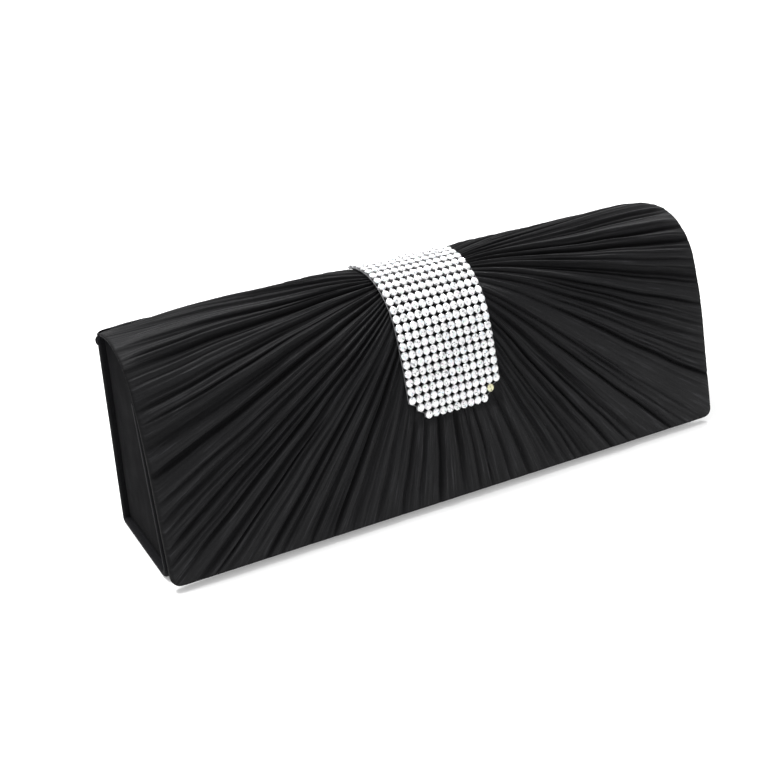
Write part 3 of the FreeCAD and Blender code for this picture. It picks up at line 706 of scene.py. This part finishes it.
def stitches(name, rows, length=2.0 * MM, pitch=2.7 * MM, width=0.32 * MM):
    """Make rows of stitches. Each row is (first point, last point, outward direction)."""
    points, quads, ends = [], [], []
    ring = np.linspace(0, 2 * math.pi, 6, endpoint=False)
    stations = np.array([-1, -0.8, -0.3, 0.3, 0.8, 1])
    swell_at = np.array([0.15, 0.75, 1, 1, 0.75, 0.15])
    for first, last, outward in rows:
        first, last, outward = (np.array(value, float) for value in (first, last, outward))
        total = np.linalg.norm(last - first)
        along = (last - first) / total
        across = np.cross(outward, along)
        count = int(total / pitch)
        for middle in first + along * ((np.arange(count) + 0.5) * total / count)[:, None]:
            start = len(points) * len(ring)
            for station, size in zip(stations, swell_at):
                spot = middle + along * station * length / 2
                circle = np.cos(ring)[:, None] * across + 0.7 * np.sin(ring)[:, None] * outward
                points.append(spot + circle * size * width / 2)
            sides, caps = tube_faces(len(stations), len(ring), start)
            quads.append(sides)
            ends.append(caps)
    return make_mesh(
        name, np.concatenate(points), np.concatenate(quads), triangles=np.concatenate(ends))


def build_pocket():
    """Make the slip pocket: a cloth panel on the back lining with a folded hem and stitched sides."""
    low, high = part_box("slip_pocket")
    xs = spread(low[0], high[0], 1.5 * MM, 0.25 * MM, 3)
    levels = spread(low[2], high[2], 1.2 * MM, 0.25 * MM, 3)
    hem = high[2] - 7 * MM

    def bulge(x, z):
        side = np.clip((high[0] - np.abs(x)) / (14 * MM), 0, 1)
        rise = np.clip((z - low[2]) / (12 * MM), 0, 1)
        folded = 1 / (1 + np.exp(-(z - hem) / (0.15 * MM)))
        return 0.45 * MM * side * rise + 0.22 * MM * folded + 0.1 * MM * slack(x, z) * side

    panel = slab(
        "pocket_cloth", lambda x, z, h: np.stack([x, high[1] - 0.55 * MM - h, z], axis=-1), xs, levels,
        0.5 * MM, 0.2 * MM, bulge,
    )
    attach(panel, "case")
    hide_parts("slip_pocket")
    dress(panel, LINING)
    face = high[1] - 0.6 * MM
    side, foot, top = high[0] - 1.6 * MM, low[2] + 1.6 * MM, high[2] - 0.4 * MM
    hem_face = face - 0.5 * MM
    rows = [
        ((-side, face, foot), (-side, face, top), (0, -1, 0)),
        ((side, face, foot), (side, face, top), (0, -1, 0)),
        ((-side, face, foot), (side, face, foot), (0, -1, 0)),
        ((-side, hem_face, hem), (side, hem_face, hem), (0, -1, 0)),
    ]
    seam = stitches("pocket_stitching", rows)
    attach(seam, "case")
    dress(seam, THREAD)


def build_ring_tabs():
    """Make the folded satin tabs that hold the chain rings, each stitched across twice."""
    for hand in ("left", "right"):
        low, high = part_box(f"{hand}_ring_tab")
        front, wall = low[1] * 1000, high[1] * 1000
        turn = low[2] * 1000
        line = smooth_line([
            (wall - 0.7, 76.8), (wall - 1.2, 71.4), (front + 0.35, 69.9), (front + 0.2, turn + 1.0),
            (front + 0.7, turn + 0.25), (wall - 1.1, turn + 0.25), (wall - 0.4, turn + 1.2), (wall - 0.4, 77.5),
        ])
        xs = spread(low[0], high[0], 0.8 * MM, 0.2 * MM, 3)
        along = spread(0, line.length, 0.4 * MM, 0.2 * MM, 3)
        tab = slab(
            f"{hand}_ring_tab_satin", lambda x, s, h: lay_on(line, x, s, -h), xs, along, 0.6 * MM,
            0.2 * MM, lambda u, v: 0.04 * MM * crease_and_painted_shade(u, v))
        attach(tab, "case")
        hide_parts(f"{hand}_ring_tab")
        dress(tab, SATIN)
        face = high[1] - 0.85 * MM
        rows = [((low[0] + 0.8 * MM, face, level), (high[0] - 0.8 * MM, face, level), (0, -1, 0))
                for level in (0.0735, 0.0765)]
        seam = stitches(f"{hand}_ring_tab_stitching", rows, length=1.4 * MM, pitch=1.6 * MM)
        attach(seam, "case")
        dress(seam, THREAD)


# ---- The rhinestone band ----

STONE_COLUMNS, STONE_ROWS = 13, 23
COLUMN_PITCH, ROW_PITCH, FIRST_ROW = 3.17 * MM, 3.53 * MM, 37.4 * MM
BACKING = 0.4 * MM
CUP_FLOOR = 0.2 * MM
# Half width, half thickness and level of a wire
LINK = (0.5 * MM, 0.14 * MM, 1.18 * MM)
SIDE_WIRE = (0.2 * MM, 0.2 * MM, 0.6 * MM)


def stone_seats():
    """Yield (row, column, x, s) of each stone, as the CAD model has them."""
    for row in range(STONE_ROWS):
        clipped = max(0, 2 - row)
        for column in range(clipped, STONE_COLUMNS - clipped):
            x = (column - (STONE_COLUMNS - 1) / 2) * COLUMN_PITCH
            yield row, column, x, FIRST_ROW + row * ROW_PITCH


def cut_stone():
    """Return one cut stone's points and triangles: pavilion, girdle, kites and an eight-sided table."""
    def circle(radius, level, count, phase=0.0):
        turn = (np.arange(count) + phase) / count * 2 * math.pi
        return np.stack([radius * np.cos(turn), radius * np.sin(turn), np.full(count, level)], axis=-1)

    points = np.concatenate([
        [[0, 0, 0.0]], circle(1.3, 0.66, 16), circle(1.53, 0.82, 16), circle(1.3, 1.1, 8, 0.5),
        circle(1.03, 1.32, 8), [[0, 0, 1.34]],
    ]) * MM
    faces = []
    for i in range(16):
        j = (i + 1) % 16
        faces += [(0, 1 + j, 1 + i), (1 + i, 1 + j, 17 + j), (1 + i, 17 + j, 17 + i)]
    for k in range(8):
        ahead, behind = (k + 1) % 8, (k - 1) % 8
        low, kite, table = 17 + 2 * k, 33 + k, 41 + k
        faces += [(low, low + 1, kite), (low + 1, 17 + (2 * k + 2) % 16, kite)]
        faces += [(low, kite, table), (low, table, 33 + behind), (kite, 41 + ahead, table)]
        faces += [(49, table, 41 + ahead)]
    return points, np.array(faces)


def build_crystals():
    """Set a cut stone in every cup. Each face's UV holds a random pick of painted reflection and fire, and the
    stone's own tint.
    """
    rng = np.random.default_rng(17)
    shape, faces = cut_stone()
    all_points, all_faces, all_uv = [], [], []
    for row, column, x, s in stone_seats():
        spin = rng.uniform(0, math.pi / 4)
        lean = rng.normal(0, 0.035, 2)
        c, d = math.cos(spin), math.sin(spin)
        turned = shape @ np.array([[c, d, 0], [-d, c, 0], [0, 0, 1]]) * [1, 1.06, 1]
        turned[:, 2] += turned[:, 0] * lean[0] + turned[:, 1] * lean[1]
        y, z, angle = flap_line(s)
        seat = BACKING + CUP_FLOOR
        out = np.array([0, -math.sin(angle), math.cos(angle)])
        up = np.array([0, math.cos(angle), math.sin(angle)])
        centre = np.array([x, y, z]) + out * seat
        placed = centre + turned[:, :1] * [1, 0, 0] + turned[:, 1:2] * up + turned[:, 2:] * out
        all_faces.append(faces + len(all_points) * len(shape))
        all_points.append(placed)
        painted_facet_light = np.repeat(rng.uniform(0, 1, len(faces)), 3)
        shade = rng.uniform(0, 0.9) if (row, column) != (1, 11) else 1.0
        all_uv.append(np.stack([painted_facet_light, np.full(len(painted_facet_light), shade)], axis=-1))
    stones = make_mesh(
        "cut_crystals", np.concatenate(all_points), [], triangles=np.concatenate(all_faces),
        uv=np.concatenate(all_uv), smooth=False)
    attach(stones, "flap")
    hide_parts("crystals")
    dress(stones, CRYSTAL)


def build_rings():
    """Bend each chain ring's wire into a D, its bar held in the tab's loop."""
    turn = np.linspace(0, 2 * math.pi, 20, endpoint=False)
    for hand in ("left", "right"):
        low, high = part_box(f"{hand}_strap_ring")
        wire = (high[1] - low[1]) / 2
        bow = (high[0] - low[0]) / 2 - wire
        leg = high[2] - low[2] - 2 * wire - bow
        quarter = (math.pi / 2, wire)
        side = (leg - wire, 0)
        bar = (bow - wire, 0)
        line = bent_line((0, 0), 0, [bar, quarter, side, (math.pi, bow), side, quarter, bar])
        x, z, heading = line(np.linspace(0, line.length, 110, endpoint=False))
        out = np.cos(turn)[:, None] * wire
        points = np.stack([
            (low[0] + high[0]) / 2 + x - np.sin(heading) * out,
            (low[1] + high[1]) / 2 + np.sin(turn)[:, None] * wire + 0 * x,
            high[2] - wire + z + np.cos(heading) * out,
        ], axis=-1)
        index = np.arange(points.shape[0] * points.shape[1]).reshape(points.shape[:2])
        after, above = np.roll(index, -1, axis=1), np.roll(index, -1, axis=0)
        quads = np.stack([index, after, np.roll(after, -1, axis=0), above], axis=-1)
        ring = make_mesh(f"{hand}_chain_ring", points.reshape(-1, 3), quads)
        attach(ring, f"{hand}_ring")
        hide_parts(f"{hand}_strap_ring")
        dress(ring, NICKEL)


def build_band_backing():
    """Make the black band that carries the stones, clipped at its lower corners."""
    rear = FLAP_REAR - 0.3 * MM
    start, corner = 35.9 * MM, 8.2 * MM
    half = BAND_HALF - 0.4 * MM
    xs = spread(-half, half, 1 * MM, 0.15 * MM, 3)
    along = spread(start, rear, 1.2 * MM, 0.15 * MM, 3)

    def place(x, s, h):
        room = np.clip((corner - (s - start)) / corner, 0, 1) * corner
        squeeze = (half - room) / half
        return lay_on(flap_line, x * squeeze, s, BACKING + h)

    band = slab("band_backing_cloth", place, xs, along, BACKING, 0.15 * MM)
    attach(band, "flap")
    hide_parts("band_backing")
    dress(band, BACKING_CLOTH)


def wires(name, paths, section, material):
    """Make closed wires over the band. Each path is a row of (x, s) points."""
    wide, thick, level = section
    points, quads, ends, made = [], [], [], 0
    ring = np.linspace(0, 2 * math.pi, 5, endpoint=False)
    for path in paths:
        path = np.array(path)
        heading = np.gradient(path, axis=0)
        heading /= np.linalg.norm(heading, axis=1, keepdims=True)
        x = path[:, :1] - heading[:, 1:] * np.cos(ring) * wide
        s = path[:, 1:] + heading[:, :1] * np.cos(ring) * wide
        points.append(lay_on(flap_line, x, s, level + np.sin(ring) * thick).reshape(-1, 3))
        sides, caps = tube_faces(len(path), len(ring), made)
        made += len(points[-1])
        quads.append(sides)
        ends.append(caps)
    thing = make_mesh(
        name, np.concatenate(points), np.concatenate(quads), triangles=np.concatenate(ends))
    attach(thing, "flap")
    dress(thing, material)


def build_band_wires():
    """Join neighbouring cups with fine wire links, and run a thin wire low along the band's sides."""
    seats = {(row, column): (x, s) for row, column, x, s in stone_seats()}
    inside_cup, beside_cup, half_cup = 1.2 * MM, 1.56 * MM, 0.9 * MM
    links = []
    for (row, column), (x, s) in seats.items():
        if (row, column + 1) in seats:
            links.append(np.linspace((x + inside_cup, s), (x + COLUMN_PITCH - inside_cup, s), 4))
        if (row + 1, column) in seats:
            links.append(np.linspace((x, s + inside_cup), (x, s + ROW_PITCH - inside_cup), 4))
    wires("band_wire_links", links, LINK, WIRE)
    edge = []
    for row in range(STONE_ROWS):
        x, s = max(seat for place, seat in seats.items() if place[0] == row)
        edge += [(x + beside_cup, s - half_cup), (x + beside_cup, s + half_cup)]
    sides = [np.array(edge) * (side, 1) for side in (-1, 1)]
    # The side wires get the dark metal with painted shade.
    wires("band_side_wires", sides, SIDE_WIRE, SIDE_METAL_PAINTED_SHADE)


# ---- Materials ----


def new_material(name):
    material = bpy.data.materials.new(name)
    material.use_nodes = True
    nodes = material.node_tree.nodes
    shader = nodes["Principled BSDF"]
    return material, nodes, material.node_tree.links, shader


def noise(nodes, links, vector, scale, detail=4, roughness=0.5):
    texture = nodes.new("ShaderNodeTexNoise")
    texture.inputs["Scale"].default_value = scale
    texture.inputs["Detail"].default_value = detail
    texture.inputs["Roughness"].default_value = roughness
    links.new(vector, texture.inputs["Vector"])
    return texture.outputs["Fac"]


def stretch(nodes, links, vector, scale):
    mapping = nodes.new("ShaderNodeMapping")
    mapping.inputs["Scale"].default_value = scale
    links.new(vector, mapping.inputs["Vector"])
    return mapping.outputs["Vector"]


def span(nodes, links, factor, low, high):
    """Map a factor from 0.3..0.7 onto low..high."""
    ranged = nodes.new("ShaderNodeMapRange")
    ranged.inputs["From Min"].default_value = 0.3
    ranged.inputs["From Max"].default_value = 0.7
    ranged.inputs["To Min"].default_value = low
    ranged.inputs["To Max"].default_value = high
    links.new(factor, ranged.inputs["Value"])
    return ranged.outputs["Result"]


def two_tone(nodes, links, factor, dark, light):
    ramp = nodes.new("ShaderNodeValToRGB")
    ramp.color_ramp.elements[0].position = 0.3
    ramp.color_ramp.elements[0].color = (*dark, 1)
    ramp.color_ramp.elements[1].position = 0.7
    ramp.color_ramp.elements[1].color = (*light, 1)
    links.new(factor, ramp.inputs["Fac"])
    return ramp.outputs["Color"]


def bump(nodes, links, height, strength, distance, below=None):
    node = nodes.new("ShaderNodeBump")
    node.inputs["Strength"].default_value = strength
    node.inputs["Distance"].default_value = distance
    links.new(height, node.inputs["Height"])
    if below is not None:
        links.new(below, node.inputs["Normal"])
    return node.outputs["Normal"]


def satin_material(
        name, dark, light, rough=(0.66, 0.8), streaks=None, streak_rough=(0.75, 0.4), specular=0.1):
    """Black satin: fine yarn grain, faint slubs and a soft sheen.

    streaks=(u, v) scales a fine relief, a streaky roughness and a painted highlight along the UVs, and paints
    shade into the mesh's creases, which it also makes rough."""
    material, nodes, links, shader = new_material(name)
    place = nodes.new("ShaderNodeTexCoord")
    grain_space = stretch(nodes, links, place.outputs["Object"], (1, 3, 3))
    grain = noise(nodes, links, grain_space, 900, detail=4, roughness=0.7)
    cloud = noise(nodes, links, place.outputs["Object"], 90, detail=3)
    colour = two_tone(nodes, links, grain, dark, light)
    links.new(span(nodes, links, cloud, *rough), shader.inputs["Roughness"])
    normal = bump(nodes, links, grain, 0.35, 0.05 * MM)
    if streaks:
        streak_space = stretch(nodes, links, place.outputs["UV"], (*streaks, 1))
        streak = noise(nodes, links, streak_space, 1, detail=5, roughness=0.6)
        # The mesh's crease values, which drive the painted shade and a higher roughness.
        crease_and_painted_shade = nodes.new("ShaderNodeAttribute")
        crease_and_painted_shade.attribute_name = "crease_and_painted_shade"
        # Painted highlight: the brightest streaks add a faint grey to the colour.
        painted_glint = nodes.new("ShaderNodeValToRGB")
        painted_glint.color_ramp.elements[0].position = 0.56
        painted_glint.color_ramp.elements[0].color = (0, 0, 0, 1)
        painted_glint.color_ramp.elements[1].position = 0.72
        painted_glint.color_ramp.elements[1].color = (0.017, 0.017, 0.019, 1)
        links.new(streak, painted_glint.inputs["Fac"])
        shiny = nodes.new("ShaderNodeMix")
        shiny.data_type = "RGBA"
        shiny.blend_type = "ADD"
        shiny.inputs["Factor"].default_value = 1
        links.new(colour, shiny.inputs["A"])
        links.new(painted_glint.outputs["Color"], shiny.inputs["B"])
        colour = shiny.outputs["Result"]
        # Painted shade: the crease values darken the colour to near black in the valleys and on the rim.
        painted_valley_shade = nodes.new("ShaderNodeMix")
        painted_valley_shade.data_type = "RGBA"
        links.new(crease_and_painted_shade.outputs["Fac"], painted_valley_shade.inputs["Factor"])
        links.new(colour, painted_valley_shade.inputs["A"])
        painted_valley_shade.inputs["B"].default_value = (0.0014, 0.0014, 0.0018, 1)
        colour = painted_valley_shade.outputs["Result"]
        normal = bump(nodes, links, streak, 0.8, 0.4 * MM, below=normal)
        blunt = nodes.new("ShaderNodeMix")
        links.new(crease_and_painted_shade.outputs["Fac"], blunt.inputs["Factor"])
        links.new(span(nodes, links, streak, *streak_rough), blunt.inputs["A"])
        blunt.inputs["B"].default_value = 0.95
        links.new(blunt.outputs["Result"], shader.inputs["Roughness"])
    links.new(colour, shader.inputs["Base Color"])
    links.new(normal, shader.inputs["Normal"])
    shader.inputs["Specular IOR Level"].default_value = specular
    shader.inputs["Sheen Weight"].default_value = 0.01
    shader.inputs["Sheen Roughness"].default_value = 0.3
    return material


def plain_material(name, dark, light, rough, metallic=0.0, scale=300, relief=0.03 * MM, specular=0.5):
    """A material with mottled colour and roughness and a fine relief."""
    material, nodes, links, shader = new_material(name)
    place = nodes.new("ShaderNodeTexCoord")
    cloud = noise(nodes, links, place.outputs["Object"], scale, detail=5, roughness=0.6)
    links.new(two_tone(nodes, links, cloud, dark, light), shader.inputs["Base Color"])
    links.new(span(nodes, links, cloud, *rough), shader.inputs["Roughness"])
    fine = noise(nodes, links, place.outputs["Object"], scale * 6, detail=3)
    links.new(bump(nodes, links, fine, 0.4, relief), shader.inputs["Normal"])
    shader.inputs["Metallic"].default_value = metallic
    shader.inputs["Specular IOR Level"].default_value = specular
    return material


def crystal_material():
    """Foil-backed cut glass: near white, with painted reflections and fire on its facets, some grey and a few
    faintly coloured.
    """
    material, nodes, links, shader = new_material("cut_crystal")
    place = nodes.new("ShaderNodeTexCoord")
    parts = nodes.new("ShaderNodeSeparateXYZ")
    links.new(place.outputs["UV"], parts.inputs["Vector"])
    ramp = nodes.new("ShaderNodeValToRGB")
    ramp.color_ramp.interpolation = "CONSTANT"
    # Painted reflections and fire: each facet's random value picks a grey, white or faintly coloured tone.
    painted_facet_tones = ((0.0, (0.3, 0.305, 0.31)), (0.07, (0.82, 0.82, 0.83)), (0.3, (0.97, 0.97, 0.97)),
             (0.80, (0.9, 0.78, 0.86)), (0.85, (0.72, 0.84, 0.94)), (0.90, (0.76, 0.92, 0.82)),
             (0.94, (0.5, 0.5, 0.52)))
    for index, (position, colour) in enumerate(painted_facet_tones):
        stop = ramp.color_ramp.elements[index] if index < 2 else ramp.color_ramp.elements.new(position)
        stop.position = position
        stop.color = (*colour, 1)
    links.new(parts.outputs["X"], ramp.inputs["Fac"])
    amber = nodes.new("ShaderNodeValToRGB")
    amber.color_ramp.elements[0].position = 0.93
    amber.color_ramp.elements[0].color = (1, 1, 1, 1)
    amber.color_ramp.elements[1].position = 0.97
    amber.color_ramp.elements[1].color = (0.8, 0.78, 0.48, 1)
    links.new(parts.outputs["Y"], amber.inputs["Fac"])
    tint = nodes.new("ShaderNodeMix")
    tint.data_type = "RGBA"
    tint.blend_type = "MULTIPLY"
    tint.inputs["Factor"].default_value = 1
    links.new(ramp.outputs["Color"], tint.inputs["A"])
    links.new(amber.outputs["Color"], tint.inputs["B"])
    links.new(tint.outputs["Result"], shader.inputs["Base Color"])
    shader.inputs["Roughness"].default_value = 0.09
    shader.inputs["Metallic"].default_value = 0.2
    shader.inputs["Specular IOR Level"].default_value = 0.8
    shader.inputs["Coat Weight"].default_value = 0.6
    shader.inputs["Coat Roughness"].default_value = 0.04
    return material


SATIN = satin_material(
    "black_satin", (0.003, 0.003, 0.0036), (0.0075, 0.0075, 0.0087), rough=(0.72, 0.82), specular=0.07)
# Painted shade: the ends get a darker copy of the walls' satin, which is also rougher and less shiny.
END_SATIN_PAINTED_SHADE = satin_material(
    "matte_black_satin_with_painted_shade", (0.0012, 0.0012, 0.0016), (0.0038, 0.0038, 0.0046), rough=(0.8, 0.95), specular=0.02)
# The pleats' satin, with painted highlights along its streaks and painted shade in its creases.
PLEATED = satin_material(
    "black_pleated_satin", (0.0026, 0.0026, 0.0032), (0.006, 0.006, 0.007), streaks=(125, 5),
    streak_rough=(0.66, 0.36), specular=0.17,
)
LINING = satin_material(
    "black_lining", (0.006, 0.006, 0.007), (0.010, 0.010, 0.012), rough=(0.55, 0.68), specular=0.12)
THREAD = plain_material(
    "black_thread", (0.004, 0.004, 0.005), (0.01, 0.01, 0.012), (0.5, 0.7), scale=900)
NICKEL = plain_material(
    "polished_nickel", (0.3, 0.295, 0.28), (0.36, 0.355, 0.34), (0.14, 0.22), metallic=1, relief=0.004 * MM)
WIRE = plain_material(
    "link_wire", (0.62, 0.62, 0.63), (0.82, 0.82, 0.83), (0.25, 0.4), metallic=0.8, scale=500)
# Painted shade: the side wires are the links' metal painted dark grey.
SIDE_METAL_PAINTED_SHADE = plain_material(
    "side_wire", (0.07, 0.07, 0.075), (0.2, 0.2, 0.205), (0.4, 0.6), metallic=0.5, scale=900)
CUPS = plain_material(
    "cup_metal", (0.6, 0.6, 0.61), (0.8, 0.8, 0.81), (0.25, 0.4), metallic=0.8, scale=500)
MAGNET = plain_material("magnet_black", (0.02, 0.02, 0.022), (0.05, 0.05, 0.055), (0.4, 0.6), metallic=0.6)
BOARD = plain_material("grey_board", (0.16, 0.15, 0.13), (0.3, 0.28, 0.25), (0.8, 0.95), scale=160)
FOAM = plain_material("pale_foam", (0.5, 0.49, 0.44), (0.66, 0.64, 0.58), (0.85, 0.95), scale=700)
BACKING_CLOTH = plain_material(
    "black_felt", (0.002, 0.002, 0.002), (0.006, 0.006, 0.007), (0.7, 0.9), scale=600, specular=0.2)
CRYSTAL = crystal_material()
NODE_MATERIALS = {
    "satin": SATIN, "pleated_satin": PLEATED, "lining": LINING, "board": BOARD, "foam": FOAM,
    "nickel": NICKEL, "magnet": MAGNET, "band_backing": BACKING_CLOTH, "stone_cups": CUPS,
    "crystals": CRYSTAL,
}


def dress(thing, material):
    """Give an object one material in every slot."""
    if thing.material_slots:
        for place in thing.material_slots:
            place.material = material
    else:
        thing.data.materials.append(material)


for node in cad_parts.values():
    for place in node.material_slots:
        place.material = NODE_MATERIALS[place.material.name]

# ---- Build ----

build_flap_cover()
build_case_wrap()
build_ends()
build_linings()
build_hinge()
build_fold_tips()
build_pocket()
build_ring_tabs()
build_rings()
build_band_backing()
build_band_wires()
build_crystals()

# ---- Floor, light and camera ----


def build_stage():
    floor_material, _, _, shader = new_material("pale_floor")
    shader.inputs["Base Color"].default_value = (0.76, 0.76, 0.76, 1)
    shader.inputs["Roughness"].default_value = 0.6
    shader.inputs["Emission Color"].default_value = (1, 1, 1, 1)
    shader.inputs["Emission Strength"].default_value = 0.26
    corners = np.array([[-30, -30, 0], [30, -30, 0], [30, 30, 0], [-30, 30, 0]], float)
    floor = make_mesh("floor", corners, [[0, 1, 2, 3]], smooth=False)
    floor.data.materials.append(floor_material)
    world = bpy.data.worlds.new("studio")
    world.use_nodes = True
    world.node_tree.nodes["Background"].inputs["Color"].default_value = (1, 1, 1, 1)
    world.node_tree.nodes["Background"].inputs["Strength"].default_value = 0.72
    bpy.context.scene.world = world


def add_light(name, place, target, size, power):
    light = bpy.data.lights.new(name, "AREA")
    light.shape = "RECTANGLE"
    light.size, light.size_y = size
    light.energy = power
    thing = bpy.data.objects.new(name, light)
    thing.location = place
    thing.rotation_euler = (Vector(target) - Vector(place)).to_track_quat("-Z", "Y").to_euler()
    bpy.context.scene.collection.objects.link(thing)


# The camera stands front left of the bag, above it, and leans a little to one side.
CAMERA_PLACE = Vector((-0.2436, -0.4369, 0.2891))
CAMERA_AZIMUTH = math.radians(-27.53)
CAMERA_ELEVATION = math.radians(26.89)
CAMERA_ROLL = math.radians(-2.34)
CAMERA_LENS = 63.4


def build_camera():
    side, rise = CAMERA_AZIMUTH, CAMERA_ELEVATION
    back = Vector((math.sin(side) * math.cos(rise), -math.cos(side) * math.cos(rise), math.sin(rise)))
    level = Vector((math.cos(side), math.sin(side), 0))
    upright = back.cross(level)
    right = math.cos(CAMERA_ROLL) * level + math.sin(CAMERA_ROLL) * upright
    up = -math.sin(CAMERA_ROLL) * level + math.cos(CAMERA_ROLL) * upright
    data = bpy.data.cameras.new("camera")
    data.lens = CAMERA_LENS
    data.sensor_width = 36
    data.clip_start = 0.01
    camera = bpy.data.objects.new("camera", data)
    turn = Matrix((right, up, back)).transposed().to_4x4()
    camera.matrix_world = Matrix.Translation(CAMERA_PLACE) @ turn
    bpy.context.scene.collection.objects.link(camera)
    bpy.context.scene.camera = camera


build_stage()
MIDDLE = (0, 0, 0.04)
add_light("overhead", (-0.35, 0.3, 1.2), MIDDLE, (0.45, 0.45), 20)
add_light("front_fill", (-0.2, -1.4, 0.9), MIDDLE, (1.0, 0.8), 1.5)
add_light("back_right", (0.7, 0.55, 0.95), MIDDLE, (0.25, 0.25), 7)
build_camera()
bpy.context.scene.view_settings.view_transform = "Standard"
